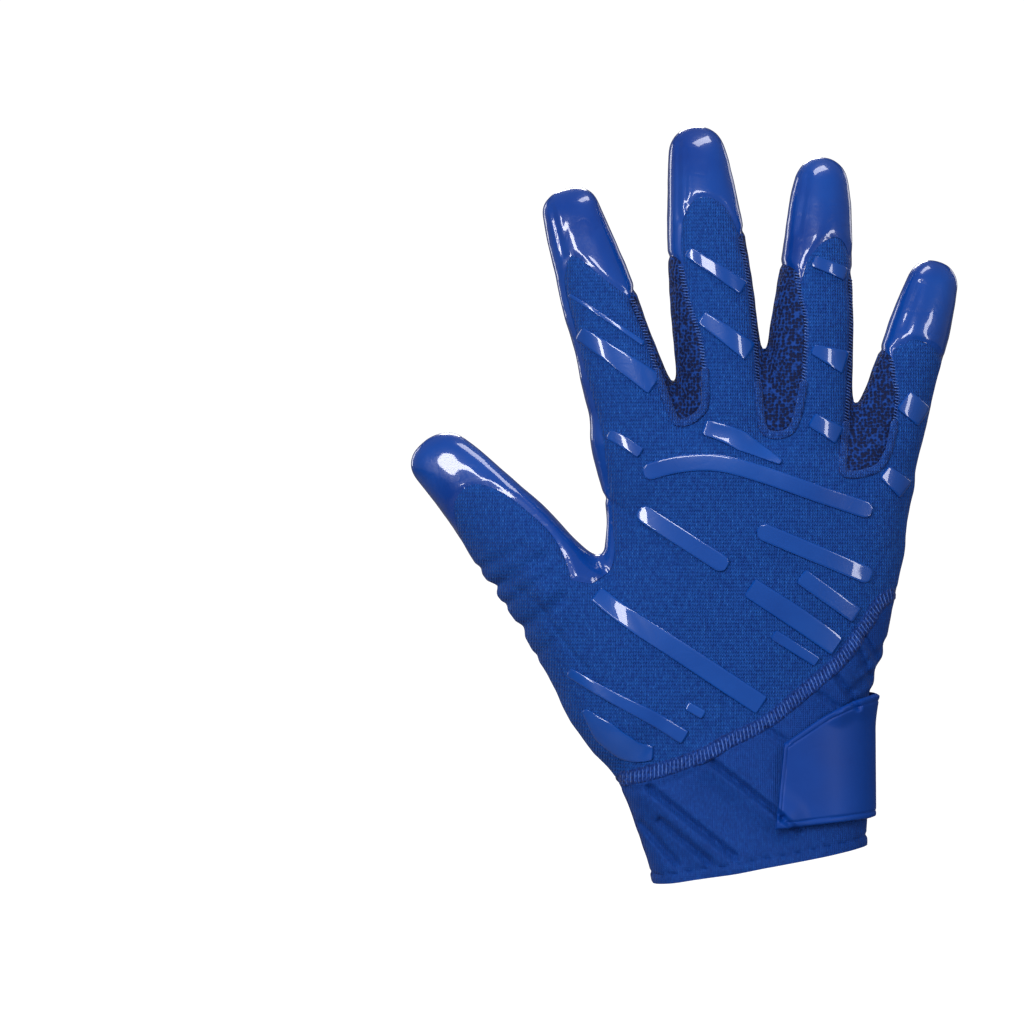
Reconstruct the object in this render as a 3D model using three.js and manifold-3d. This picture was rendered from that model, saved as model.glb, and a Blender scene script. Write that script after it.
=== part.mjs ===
// Right-hand football receiver glove, filled out as it is when worn.
// Millimetres. +Z runs up through the fingers, +Y out of the palm, -Y out of the back of the hand and
// +X towards the little finger. The origin is the centre of the wrist opening.
//
// The glove is one hollow shell, lofted flat through a few sections for the palm and for each digit,
// cut along its seams into the sewn panels, and then bent into its resting curve as a whole.

import * as THREE from 'three';
import { mergeVertices } from 'three/addons/utils/BufferGeometryUtils.js';
import Module from 'manifold-3d';

const wasm = await Module();
wasm.setup();

// Hand: its length runs from the wrist opening to the finger roots, its breadth lies across the knuckles.
const HAND_LENGTH = 128;
const HAND_BREADTH = 95.5;
const HAND_THICKNESS = 30;
const HEM_SLOPE = 0.18;
const KNUCKLE_SLOPE = -0.152;
const ARCH_DEPTH = 4;
const WALL = 1.4;
const SEAM_GAP = 0.3;
const SIDE_SEAM_GAP = 0.7;

// Fingers and thumb: length from root to tip, breadth and thickness at the root, lean off upright.
const INDEX_LENGTH = 81.8;
const INDEX_BREADTH = 26.8;
const INDEX_THICKNESS = 21;
const INDEX_LEAN = -17;
const MIDDLE_LENGTH = 94.9;
const MIDDLE_BREADTH = 26.6;
const MIDDLE_THICKNESS = 21.5;
const MIDDLE_LEAN = -5.2;
const RING_LENGTH = 91.1;
const RING_BREADTH = 27;
const RING_THICKNESS = 21;
const RING_LEAN = 4.5;
const PINKY_LENGTH = 77.1;
const PINKY_BREADTH = 22;
const PINKY_THICKNESS = 18.5;
const PINKY_LEAN = 17.6;
const THUMB_LENGTH = 93.4;
const THUMB_BREADTH = 30;
const THUMB_THICKNESS = 34;
const THUMB_LEAN = -38.1;
const THUMB_BOW = 3.3;

// Resting curve: the fingers curl and the thumb swings towards the palm, and the swing fades out between
// two heights above the thumb's tip. The arch across the hand grows to a limit past its edges.
const FINGER_CURL = 14;
const THUMB_SWING = 18;
const SWING_FADE_START = 4;
const SWING_FADE_END = 20;
const ARCH_LIMIT = 1.6;

// Seams and trim.
const SIDE_SEAM_Y = -1.5;
const FINGER_SEAM_Y = 3;
const RIB_WIDTH = 6;
const RIB_HEIGHT = 1.2;
const OVERLOCK_WIDTH = 4.6;
const OVERLOCK_HEIGHT = 0.7;
const PLEAT_WIDTH = 9;
const PLEAT_HEIGHT = 2.2;
const PLEAT_FADE_START = 2;
const PLEAT_FADE_END = -6;

// Wrist closure: a slit up the little-finger side, bridged by a strap over a hook patch.
const SLIT_WIDTH = 3;
const SLIT_LENGTH = 52;
const SLIT_INNER_SHARE = 0.25;
const STRAP_THICKNESS = 1.5;
const STRAP_WRAP = 6;
const STRAP_INNER_SHARE = 0.28;
const PATCH_THICKNESS = 1;

// Mesh fineness of the outer and the inner skin, and of the ribs' round ends.
const OUTER_SKIN = { digitSides: 14, palmSides: 28, palmRings: 17 };
const INNER_SKIN = { digitSides: 10, palmSides: 20, palmRings: 12 };
const ROUND_END_STEPS = 5;

// Section shape: 2 is an ellipse, more is closer to a rounded box.
const DIGIT_ROUNDNESS = 2.2;
const PALM_ROUNDNESS = 2.5;

// Cutters: how far they reach past the glove, how far the hollow runs out of the wrist, the overlap of two
// cutters that join, and the least sharpness of a mitred corner.
const REACH = 90;
const HOLLOW_OVERRUN = 8;
const CUTTER_OVERLAP = 1.5;
const MITRE_LIMIT = 0.4;

const BLUE_KNIT = { color: 0x22478e, roughness: 0.85, metalness: 0 };
const BLUE_PALM = { color: 0x1c499b, roughness: 0.35, metalness: 0 };
const BLUE_RIB = { color: 0x1e4188, roughness: 0.25, metalness: 0 };
const BLUE_STRAP = { color: 0x183f8e, roughness: 0.45, metalness: 0 };
const NAVY_MESH = { color: 0x122049, roughness: 0.8, metalness: 0 };

// Palm sections. along: share of the hand's length; left and right: edges as shares of its breadth;
// back and front: half depths as shares of its thickness.
const PALM_SECTIONS = [
  { along: 0.00, left: -0.348, right: 0.341, back: 0.64, front: 0.66 },
  { along: 0.10, left: -0.390, right: 0.348, back: 0.60, front: 0.66 },
  { along: 0.20, left: -0.442, right: 0.348, back: 0.56, front: 0.65 },
  { along: 0.30, left: -0.523, right: 0.348, back: 0.53, front: 0.64 },
  { along: 0.40, left: -0.600, right: 0.364, back: 0.50, front: 0.62 },
  { along: 0.50, left: -0.584, right: 0.402, back: 0.49, front: 0.60 },
  { along: 0.60, left: -0.552, right: 0.428, back: 0.48, front: 0.57 },
  { along: 0.70, left: -0.513, right: 0.454, back: 0.47, front: 0.54 },
  { along: 0.80, left: -0.499, right: 0.478, back: 0.46, front: 0.51 },
  { along: 0.90, left: -0.519, right: 0.481, back: 0.44, front: 0.48 },
  { along: 0.97, left: -0.535, right: 0.493, back: 0.41, front: 0.45 },
  { along: 1.00, left: -0.510, right: 0.480, back: 0.33, front: 0.36 },
  { along: 1.03, left: -0.430, right: 0.420, back: 0.15, front: 0.16 },
];

// Finger depths. along: share of the finger's length; back and front: shares of half its thickness.
const FINGER_DEPTHS = [
  { along: -0.25, back: 1.10, front: 1.16 },
  { along: 0.00, back: 1.05, front: 1.12 },
  { along: 0.30, back: 0.98, front: 1.04 },
  { along: 0.60, back: 0.93, front: 1.00 },
  { along: 0.80, back: 0.84, front: 0.92 },
  { along: 0.93, back: 0.66, front: 0.72 },
  { along: 1.00, back: 0.34, front: 0.38 },
];

const THUMB_DEPTHS = [
  { along: -0.25, back: 0.80, front: 0.90 },
  { along: 0.00, back: 0.86, front: 1.00 },
  { along: 0.40, back: 0.76, front: 0.86 },
  { along: 0.66, back: 0.64, front: 0.70 },
  { along: 0.88, back: 0.52, front: 0.56 },
  { along: 0.97, back: 0.38, front: 0.42 },
  { along: 1.00, back: 0.24, front: 0.27 },
];

// Digits. root: place in the hand as shares of its breadth and length; each section's along is a share
// of the digit's length, and its half a share of half the digit's breadth.
const DIGITS = {
  index: {
    length: INDEX_LENGTH, breadth: INDEX_BREADTH, thickness: INDEX_THICKNESS, lean: INDEX_LEAN, bow: 0,
    root: [-0.380, 1.022], depths: FINGER_DEPTHS,
    sections: [
      { along: -0.25, half: 0.96 },
      { along: 0.00, half: 1.04 },
      { along: 0.24, half: 0.98 },
      { along: 0.40, half: 0.91 },
      { along: 0.56, half: 0.87 },
      { along: 0.71, half: 0.80 },
      { along: 0.83, half: 0.74 },
      { along: 0.92, half: 0.67 },
      { along: 0.97, half: 0.56 },
      { along: 1.00, half: 0.40 },
    ],
  },
  middle: {
    length: MIDDLE_LENGTH, breadth: MIDDLE_BREADTH, thickness: MIDDLE_THICKNESS, lean: MIDDLE_LEAN, bow: 0,
    root: [-0.114, 1.046], depths: FINGER_DEPTHS,
    sections: [
      { along: -0.25, half: 1.00 },
      { along: 0.00, half: 1.05 },
      { along: 0.22, half: 1.00 },
      { along: 0.36, half: 1.00 },
      { along: 0.50, half: 0.97 },
      { along: 0.63, half: 0.91 },
      { along: 0.76, half: 0.83 },
      { along: 0.87, half: 0.74 },
      { along: 0.94, half: 0.62 },
      { along: 0.98, half: 0.46 },
      { along: 1.00, half: 0.30 },
    ],
  },
  ring: {
    length: RING_LENGTH, breadth: RING_BREADTH, thickness: RING_THICKNESS, lean: RING_LEAN, bow: 0,
    root: [0.140, 0.998], depths: FINGER_DEPTHS,
    sections: [
      { along: -0.25, half: 1.00 },
      { along: 0.00, half: 1.08 },
      { along: 0.17, half: 1.05 },
      { along: 0.31, half: 1.00 },
      { along: 0.44, half: 0.955 },
      { along: 0.58, half: 0.86 },
      { along: 0.72, half: 0.78 },
      { along: 0.85, half: 0.71 },
      { along: 0.93, half: 0.59 },
      { along: 0.98, half: 0.43 },
      { along: 1.00, half: 0.28 },
    ],
  },
  pinky: {
    length: PINKY_LENGTH, breadth: PINKY_BREADTH, thickness: PINKY_THICKNESS, lean: PINKY_LEAN, bow: 0,
    root: [0.347, 0.877], depths: FINGER_DEPTHS,
    sections: [
      { along: -0.25, half: 0.95 },
      { along: 0.00, half: 1.06 },
      { along: 0.17, half: 1.06 },
      { along: 0.34, half: 1.02 },
      { along: 0.48, half: 0.955 },
      { along: 0.61, half: 0.91 },
      { along: 0.74, half: 0.87 },
      { along: 0.84, half: 0.79 },
      { along: 0.92, half: 0.67 },
      { along: 0.97, half: 0.51 },
      { along: 1.00, half: 0.33 },
    ],
  },
  thumb: {
    length: THUMB_LENGTH, breadth: THUMB_BREADTH, thickness: THUMB_THICKNESS, lean: THUMB_LEAN,
    bow: THUMB_BOW, root: [-0.487, 0.441], depths: THUMB_DEPTHS,
    sections: [
      { along: -0.25, half: 0.80 },
      { along: -0.10, half: 0.98 },
      { along: 0.03, half: 1.05 },
      { along: 0.18, half: 1.04 },
      { along: 0.32, half: 1.01 },
      { along: 0.44, half: 0.99 },
      { along: 0.55, half: 0.96 },
      { along: 0.67, half: 0.87 },
      { along: 0.79, half: 0.76 },
      { along: 0.89, half: 0.69 },
      { along: 0.96, half: 0.56 },
      { along: 1.00, half: 0.36 },
    ],
  },
};

// Edge of the knit back on each digit, from its left seam over the foot of the leather cap to its right
// seam. Pairs of [along, across]: shares of the digit's length and of half its breadth.
const KNIT_TOPS = {
  thumb: [[0.61, -1.10], [0.75, -0.63], [0.79, -0.36], [0.80, 0.00], [0.77, 0.28], [0.70, 0.49],
    [0.60, 0.63], [0.50, 0.70], [0.41, 0.62], [0.34, 0.46]],
  index: [[0.05, -0.90], [0.20, -0.86], [0.48, -0.78], [0.64, -0.72], [0.71, -0.56], [0.75, -0.31],
    [0.70, -0.05], [0.62, 0.26], [0.55, 0.61], [0.50, 0.80]],
  middle: [[0.50, -0.60], [0.59, -0.66], [0.69, -0.56], [0.75, -0.30], [0.765, 0.03], [0.74, 0.40],
    [0.69, 0.62], [0.62, 0.80]],
  ring: [[0.56, -0.40], [0.64, -0.27], [0.69, -0.05], [0.725, 0.22], [0.73, 0.42], [0.71, 0.62],
    [0.66, 0.77], [0.58, 0.84]],
  pinky: [[0.50, -0.40], [0.60, -0.60], [0.64, -0.38], [0.67, -0.10], [0.67, 0.26], [0.66, 0.55],
    [0.64, 0.83], [0.63, 1.40]],
};

// Seams of the finger gussets. left: down the right side of the lower-numbered finger; right: up the
// left side of its neighbour. Pairs of [along, across] as above.
const GUSSETS = [
  {
    name: 'gusset_index_middle', left: 'index', right: 'middle',
    down: [[0.60, 1.30], [0.53, 0.70], [0.40, 0.77], [0.23, 0.76], [0.10, 0.78], [0.02, 0.90]],
    up: [[0.07, -0.52], [0.16, -0.40], [0.27, -0.40], [0.34, -0.46], [0.43, -0.61], [0.56, -0.70],
      [0.61, -1.30]],
  },
  {
    name: 'gusset_middle_ring', left: 'middle', right: 'ring',
    down: [[0.69, 1.25], [0.62, 0.74], [0.50, 0.80], [0.36, 0.82], [0.24, 0.82], [0.08, 0.78],
      [-0.02, 0.90]],
    up: [[0.06, -0.38], [0.18, -0.19], [0.32, -0.16], [0.44, -0.21], [0.52, -0.38], [0.60, -0.50],
      [0.66, -1.30]],
  },
  {
    name: 'gusset_ring_pinky', left: 'ring', right: 'pinky',
    down: [[0.68, 1.20], [0.60, 0.76], [0.45, 0.82], [0.30, 0.84], [0.12, 0.85], [0.01, 0.86],
      [-0.07, 0.94]],
    up: [[0.12, -0.12], [0.20, 0.10], [0.32, 0.04], [0.42, -0.08], [0.49, -0.32], [0.57, -0.58],
      [0.63, -1.45]],
  },
];

// Outlines on the hand. Pairs of [across, along]: shares of its breadth and of its length.
const WEB_EDGE = [[-0.545, 0.676], [-0.480, 0.727], [-0.490, 0.877]];
const OVERLOCK_PATH = [[-0.62, 0.170], [-0.39, 0.218], [-0.227, 0.257], [-0.12, 0.298], [0.013, 0.349],
  [0.149, 0.430], [0.256, 0.499], [0.338, 0.579], [0.395, 0.635], [0.56, 0.700]];
const OUTER_THUMB_SEAM = [[-0.84, 0.675], [-0.74, 0.637], [-0.682, 0.581], [-0.617, 0.513],
  [-0.536, 0.443], [-0.461, 0.341], [-0.455, 0.237], [-0.435, 0.180]];
const GUSSET_OUTER_SEAM = [[-0.86, 0.660], [-0.765, 0.625], [-0.711, 0.581], [-0.655, 0.501],
  [-0.590, 0.417], [-0.550, 0.345], [-0.515, 0.250], [-0.480, 0.190]];
const THENAR_SEAM = [[-0.520, 0.890], [-0.403, 0.828], [-0.295, 0.753], [-0.198, 0.625],
  [-0.133, 0.499], [-0.123, 0.388], [-0.146, 0.291], [-0.224, 0.228], [-0.338, 0.190]];
const ELASTIC_EDGE = [[-0.224, -0.15], [-0.224, -0.03], [-0.240, 0.165], [-0.320, 0.176],
  [-0.345, 0.210], [-0.520, 0.210], [-0.700, 0.150], [-0.700, -0.15]];
const STRAP_EDGE = [[0.088, 0.295], [0.224, 0.344], [0.350, 0.400], [0.440, 0.410], [0.440, 0.115],
  [0.354, 0.108], [0.075, 0.090]];
const STRAP_ROOT_EDGE = [[0.300, 0.380], [0.440, 0.410], [0.440, 0.115], [0.300, 0.120]];
const PATCH_EDGE = [[0.115, 0.270], [0.200, 0.300], [0.290, 0.330], [0.290, 0.135], [0.110, 0.125]];

// Moulded ribs on the back of the hand. path: [across, along] on the hand; widths: shares of the rib width.
const HAND_RIBS = [
  { name: 'rib_knuckle_arc', round: true, widths: [0.90, 0.90, 0.88, 0.90, 0.90],
    path: [[-0.385, 0.940], [-0.270, 0.962], [-0.149, 0.965], [-0.013, 0.940], [0.355, 0.848]] },
  { name: 'rib_back_upper_left', round: true, widths: [0.92, 0.92],
    path: [[-0.400, 0.852], [-0.115, 0.715]] },
  { name: 'rib_back_upper_right', round: true, widths: [0.92, 0.92],
    path: [[-0.020, 0.806], [0.355, 0.690]] },
  { name: 'rib_back_broad', round: false, widths: [1.10, 1.15, 1.10],
    path: [[-0.045, 0.668], [0.120, 0.588], [0.240, 0.525]] },
  { name: 'rib_back_edge', round: false, widths: [0.88, 0.88],
    path: [[0.120, 0.695], [0.305, 0.598]] },
  { name: 'rib_back_short', round: false, widths: [0.58, 0.58],
    path: [[0.030, 0.556], [0.175, 0.488]] },
  { name: 'rib_back_long', round: false, widths: [0.90, 1.03, 1.06, 1.06],
    path: [[-0.535, 0.652], [-0.438, 0.596], [-0.276, 0.518], [-0.005, 0.385]] },
  { name: 'rib_back_bar', round: false, widths: [0.48, 0.48],
    path: [[-0.247, 0.386], [-0.190, 0.362]] },
  { name: 'rib_back_low', round: false, widths: [0.52, 0.62, 0.74, 0.78],
    path: [[-0.625, 0.463], [-0.503, 0.412], [-0.357, 0.356], [-0.250, 0.308]] },
  { name: 'rib_thumb_base', round: false, widths: [0.30, 1.25, 1.30, 0.75],
    path: [[-0.575, 0.372], [-0.500, 0.314], [-0.424, 0.276], [-0.352, 0.270]] },
  { name: 'rib_index_knuckle', round: false, widths: [0.55, 0.62, 0.60],
    path: [[-0.495, 1.036], [-0.455, 1.020], [-0.390, 0.988]] },
  { name: 'rib_middle_knuckle', round: false, widths: [0.80, 1.05, 0.30],
    path: [[-0.190, 1.052], [-0.097, 1.028], [0.060, 0.966]] },
  { name: 'rib_ring_root', round: false, widths: [0.80, 0.98],
    path: [[0.157, 1.070], [0.252, 1.030]] },
  { name: 'rib_pinky_root', round: false, widths: [0.85, 1.10],
    path: [[0.395, 0.945], [0.470, 0.900]] },
];

// Moulded ribs on the fingers. path: [along, across] on the digit; widths: shares of the rib width.
const FINGER_RIBS = [
  { name: 'rib_index_fine', digit: 'index', widths: [0.20, 0.30], path: [[0.610, -0.66], [0.345, 0.66]] },
  { name: 'rib_index', digit: 'index', widths: [0.72, 1.25], path: [[0.460, -0.70], [0.185, 0.62]] },
  { name: 'rib_middle_upper', digit: 'middle', widths: [0.58, 0.82], path: [[0.590, -0.52], [0.452, 0.72]] },
  { name: 'rib_middle_lower', digit: 'middle', widths: [0.72, 1.08], path: [[0.372, -0.36], [0.242, 0.72]] },
  { name: 'rib_ring_upper', digit: 'ring', widths: [0.62, 0.74], path: [[0.640, -0.16], [0.606, 0.66]] },
  { name: 'rib_ring_lower', digit: 'ring', widths: [0.52, 1.28], path: [[0.340, -0.04], [0.304, 0.80]] },
  { name: 'rib_pinky', digit: 'pinky', widths: [1.20, 1.22], path: [[0.424, 0.08], [0.384, 0.84]] },
];

// Folds of the knit back. Pairs of [across, along] on the hand; width and height as shares of a pleat's.
const FOLDS = [
  { from: [-0.162, 0.257], to: [0.060, 0.118], width: 1.0, height: 1.0 },
  { from: [-0.370, 0.170], to: [-0.097, 0.010], width: 1.1, height: 1.0 },
  { from: [-0.420, 0.080], to: [-0.300, -0.030], width: 0.9, height: 0.8 },
  { from: [0.182, 0.417], to: [0.245, 0.375], width: 0.7, height: 0.6 },
  { from: [0.250, 0.455], to: [0.315, 0.390], width: 0.7, height: 0.7 },
  { from: [0.312, 0.513], to: [0.375, 0.440], width: 0.7, height: 0.7 },
  { from: [-0.760, 0.700], to: [-0.690, 0.640], width: 0.7, height: 0.5 },
];

// Value of a column at a place along a table of rows, straight between rows.
function readTable(rows, along, column) {
  if (along <= rows[0].along) {
    return rows[0][column];
  }
  for (let i = 1; i < rows.length; i += 1) {
    const low = rows[i - 1];
    const high = rows[i];
    if (along <= high.along) {
      return THREE.MathUtils.mapLinear(along, low.along, high.along, low[column], high[column]);
    }
  }
  return rows[rows.length - 1][column];
}

// Place in the flat hand, from shares of its breadth and length.
function onHand([across, along]) {
  return [across * HAND_BREADTH, along * HAND_LENGTH];
}

// Axis frame of a digit: its root, the direction up it and the direction to its right.
function digitFrame(digit) {
  const lean = THREE.MathUtils.degToRad(digit.lean);
  return {
    root: onHand(digit.root),
    up: [Math.sin(lean), Math.cos(lean)],
    side: [Math.cos(lean), -Math.sin(lean)],
  };
}

// Place in a digit, from shares of its length and of half its breadth; the axis bows to the right.
function onDigit(digit, [along, across], stretch = 0) {
  const { root, up, side } = digitFrame(digit);
  const rise = along * digit.length + stretch;
  const shift = across * digit.breadth / 2 + digit.bow * 4 * along * (1 - along);
  return [root[0] + up[0] * rise + side[0] * shift, root[1] + up[1] * rise + side[1] * shift];
}

// Ring of points round a section: half widths along the side direction and half depths in Y, on a curve
// between an ellipse and a rounded box.
function sectionRing({ centre, side, half, back, front, roundness, sides }) {
  const ring = [];
  for (let i = 0; i < sides; i += 1) {
    const angle = 2 * Math.PI * i / sides;
    const across = Math.sign(Math.cos(angle)) * Math.abs(Math.cos(angle)) ** (2 / roundness);
    const depth = Math.sign(Math.sin(angle)) * Math.abs(Math.sin(angle)) ** (2 / roundness);
    ring.push([
      centre[0] + side[0] * half * across,
      depth * (depth < 0 ? back : front),
      centre[1] + side[1] * half * across,
    ]);
  }
  return ring;
}

// Solid from a list of rings of equal count, closed at both ends by a fan.
function solidFromRings(rings) {
  const sides = rings[0].length;
  const points = rings.flat();
  const triangles = [];
  for (let r = 0; r < rings.length - 1; r += 1) {
    for (let i = 0; i < sides; i += 1) {
      const a = r * sides + i;
      const b = r * sides + (i + 1) % sides;
      triangles.push([a, b, a + sides], [b, b + sides, a + sides]);
    }
  }
  for (const [ring, flip] of [[0, true], [rings.length - 1, false]]) {
    const middle = [0, 1, 2].map((k) => rings[ring].reduce((sum, p) => sum + p[k], 0) / sides);
    const hub = points.push(middle) - 1;
    for (let i = 0; i < sides; i += 1) {
      const a = ring * sides + i;
      const b = ring * sides + (i + 1) % sides;
      triangles.push(flip ? [hub, b, a] : [hub, a, b]);
    }
  }
  return new wasm.Manifold(new wasm.Mesh({
    numProp: 3,
    vertProperties: new Float32Array(points.flat()),
    triVerts: new Uint32Array(triangles.flat()),
  }));
}

// Loft of a digit, its surface moved out by grow.
function digitSolid(digit, grow, skin) {
  const { side } = digitFrame(digit);
  return solidFromRings(digit.sections.map(({ along, half }) => sectionRing({
    centre: onDigit(digit, [along, 0], grow * THREE.MathUtils.smoothstep(along, 0.8, 1)),
    side,
    half: half * digit.breadth / 2 + grow,
    back: readTable(digit.depths, along, 'back') * digit.thickness / 2 + grow,
    front: readTable(digit.depths, along, 'front') * digit.thickness / 2 + grow,
    roundness: DIGIT_ROUNDNESS,
    sides: skin.digitSides,
  })));
}

// Loft of the palm, its surface moved out by grow. The sections turn from the slope of the hem to the
// slope of the knuckles. below carries the loft that far out of the wrist.
function palmSolid(grow, skin, below) {
  const top = PALM_SECTIONS[PALM_SECTIONS.length - 1].along;
  const places = Array.from({ length: skin.palmRings + 1 }, (_, i) => top * i / skin.palmRings);
  const rings = places.map((along) => {
    const slope = THREE.MathUtils.lerp(HEM_SLOPE, KNUCKLE_SLOPE, Math.min(along, 1));
    const level = along * HAND_LENGTH + grow * THREE.MathUtils.smoothstep(along, 0.9, 1);
    const left = readTable(PALM_SECTIONS, along, 'left') * HAND_BREADTH - grow;
    const right = readTable(PALM_SECTIONS, along, 'right') * HAND_BREADTH + grow;
    return {
      centre: [(left + right) / 2, level + slope * (left + right) / 2],
      side: [1, slope],
      half: (right - left) / 2,
      back: readTable(PALM_SECTIONS, along, 'back') * HAND_THICKNESS + grow,
      front: readTable(PALM_SECTIONS, along, 'front') * HAND_THICKNESS + grow,
      roundness: PALM_ROUNDNESS,
      sides: skin.palmSides,
    };
  });
  if (below > 0) {
    const { centre, ...foot } = rings[0];
    rings.unshift({ ...foot, centre: [centre[0], centre[1] - below] });
  }
  return solidFromRings(rings.map(sectionRing));
}

// Whole hand, its surface moved out by grow.
function handSolid(grow, skin = OUTER_SKIN, below = 0) {
  const digits = Object.values(DIGITS).map((digit) => digitSolid(digit, grow, skin));
  return digits.reduce((sum, digit) => sum.add(digit), palmSolid(grow, skin, below));
}

// Closed geometry as a solid.
function solidFromGeometry(geometry) {
  geometry.deleteAttribute('normal');
  geometry.deleteAttribute('uv');
  const merged = mergeVertices(geometry, 1e-4);
  return new wasm.Manifold(new wasm.Mesh({
    numProp: 3,
    vertProperties: new Float32Array(merged.attributes.position.array),
    triVerts: new Uint32Array(merged.index.array),
  }));
}

// Outline moved outwards by a distance, each corner along its mitre.
function growOutline(outline, distance) {
  const ring = outline.map(([x, z]) => new THREE.Vector2(x, z));
  if (THREE.ShapeUtils.area(ring) < 0) {
    ring.reverse();
  }
  return ring.map((corner, i) => {
    const before = corner.clone().sub(ring[(i + ring.length - 1) % ring.length]).normalize();
    const after = ring[(i + 1) % ring.length].clone().sub(corner).normalize();
    const mitre = new THREE.Vector2(before.y + after.y, -before.x - after.x);
    const sharpness = Math.max(MITRE_LIMIT, 1 + before.dot(after));
    return corner.clone().addScaledVector(mitre, distance / sharpness).toArray();
  });
}

// Straight cutter through an outline in X and Z, from one Y to another.
function prism(outline, fromY, toY) {
  const shape = new THREE.Shape(outline.map(([x, z]) => new THREE.Vector2(x, z)));
  const geometry = new THREE.ExtrudeGeometry(shape, { depth: toY - fromY, bevelEnabled: false, steps: 1 });
  geometry.rotateX(Math.PI / 2);
  geometry.translate(0, toY, 0);
  return solidFromGeometry(geometry);
}

// Outline of a band along a path with a width at each point; round ends are half circles.
function bandOutline(path, widths, round) {
  const points = path.map(([x, z]) => new THREE.Vector2(x, z));
  const last = points.length - 1;
  const normals = points.map((point, i) => {
    const run = points[Math.min(i + 1, last)].clone().sub(points[Math.max(i - 1, 0)]).normalize();
    return new THREE.Vector2(-run.y, run.x);
  });
  const sideOf = (sign) => points.map((p, i) => p.clone().addScaledVector(normals[i], sign * widths[i] / 2));
  const endArc = (i, turn) => {
    const arc = [];
    for (let k = 1; round && k < ROUND_END_STEPS; k += 1) {
      const angle = turn - Math.PI * k / ROUND_END_STEPS;
      arc.push(points[i].clone().addScaledVector(
        normals[i].clone().rotateAround(new THREE.Vector2(), angle), widths[i] / 2));
    }
    return arc;
  };
  const outline = [...sideOf(1), ...endArc(last, 0), ...sideOf(-1).reverse(), ...endArc(0, Math.PI)];
  return outline.map((point) => point.toArray());
}

// Shell left to be shared out, with the slit cut up from the hem.
const hollow = handSolid(-WALL, INNER_SKIN, HOLLOW_OVERRUN);
const slitLeft = HAND_BREADTH * SLIT_INNER_SHARE;
const slitOutline = [[slitLeft, -REACH], [REACH, -REACH], [REACH, SLIT_LENGTH], [slitLeft, SLIT_LENGTH]];
const slit = prism(slitOutline, SIDE_SEAM_Y - SLIT_WIDTH / 2, SIDE_SEAM_Y + SLIT_WIDTH / 2);
let rest = handSolid(0).subtract(hollow).subtract(slit);

// Cuts a panel out of the shell: each cutter is an outline with the range of Y that it covers.
function cutPanel(cutters) {
  const join = (gap, sideGap) => cutters
    .map(({ outline, fromY, toY }) => prism(growOutline(outline, gap), fromY - sideGap, toY + sideGap))
    .reduce((sum, cutter) => sum.add(cutter));
  const panel = rest.intersect(join(0, 0));
  rest = rest.subtract(join(SEAM_GAP, SIDE_SEAM_GAP));
  return panel;
}

const backOf = (outline) => ({ outline, fromY: -REACH, toY: SIDE_SEAM_Y });
const frontOf = (outline) => ({ outline, fromY: SIDE_SEAM_Y, toY: REACH });
const through = (outline) => ({ outline, fromY: -REACH, toY: REACH });

const panels = [];

function addPanel(name, solid, finish) {
  panels.push({ name, solid, finish });
}

// Finger gussets.
for (const { name, left, right, down, up } of GUSSETS) {
  const outline = [
    ...down.map((place) => onDigit(DIGITS[left], place)),
    ...up.map((place) => onDigit(DIGITS[right], place)),
  ];
  addPanel(name, cutPanel([{ outline, fromY: -REACH, toY: FINGER_SEAM_Y }]), NAVY_MESH);
}

// Overlocked seam band across the back, standing proud of the panels on both sides.
const overlockPath = OVERLOCK_PATH.map(onHand);
const overlockOutline = bandOutline(overlockPath, overlockPath.map(() => OVERLOCK_WIDTH), false);
cutPanel([backOf(overlockOutline)]);
const overlock = handSolid(OVERLOCK_HEIGHT).subtract(hollow)
  .intersect(prism(overlockOutline, -REACH, SIDE_SEAM_Y));
addPanel('overlock_seam', overlock, BLUE_KNIT);

// Knit back, with its flank that wraps round the thumb's base to the palm side.
const fingerTops = ['index', 'middle', 'ring', 'pinky'].flatMap((name) => (
  KNIT_TOPS[name].map((place) => onDigit(DIGITS[name], place))));
const thumbTop = KNIT_TOPS.thumb.map((place) => onDigit(DIGITS.thumb, place));
const backOutline = [
  ...thumbTop,
  ...WEB_EDGE.map(onHand),
  ...fingerTops,
  ...[[0.74, 0.95], [0.60, 0.75]].map(onHand),
  ...overlockPath.slice(1).reverse(),
  ...[[-0.62, 0.17], [-0.80, 0.30], [-0.98, 0.52]].map(onHand),
];
const flankOutline = [
  ...GUSSET_OUTER_SEAM.map(onHand),
  ...[[-0.62, 0.19], [-0.80, 0.30], [-1.00, 0.50], [-1.00, 0.62]].map(onHand),
];
const flank = { outline: flankOutline, fromY: SIDE_SEAM_Y - CUTTER_OVERLAP, toY: REACH };
addPanel('back_panel', cutPanel([backOf(backOutline), flank]), BLUE_KNIT);

// Cuff below the overlocked seam.
const cuffOutline = [...overlockPath, ...[[0.56, -0.20], [-0.62, -0.20]].map(onHand)];
addPanel('cuff_panel', cutPanel([backOf(cuffOutline)]), BLUE_KNIT);

// Mesh gusset beside the outer thumb seam.
const gussetOutline = [...OUTER_THUMB_SEAM, ...GUSSET_OUTER_SEAM.slice().reverse()].map(onHand);
addPanel('thumb_gusset', cutPanel([frontOf(gussetOutline)]), NAVY_MESH);

// Leather thumb: the ball of the thumb, its palm side and its cap.
const thumbOutline = [
  ...THENAR_SEAM.map(onHand),
  ...OUTER_THUMB_SEAM.slice().reverse().map(onHand),
  ...[[-1.00, 0.58], [-1.35, 0.80], [-1.35, 1.30], [-0.95, 1.20], [-0.65, 0.98]].map(onHand),
];
addPanel('thumb_panel', cutPanel([through(thumbOutline)]), BLUE_PALM);

// Elastic at the heel of the palm.
addPanel('elastic_band', cutPanel([frontOf(ELASTIC_EDGE.map(onHand))]), BLUE_STRAP);

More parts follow.
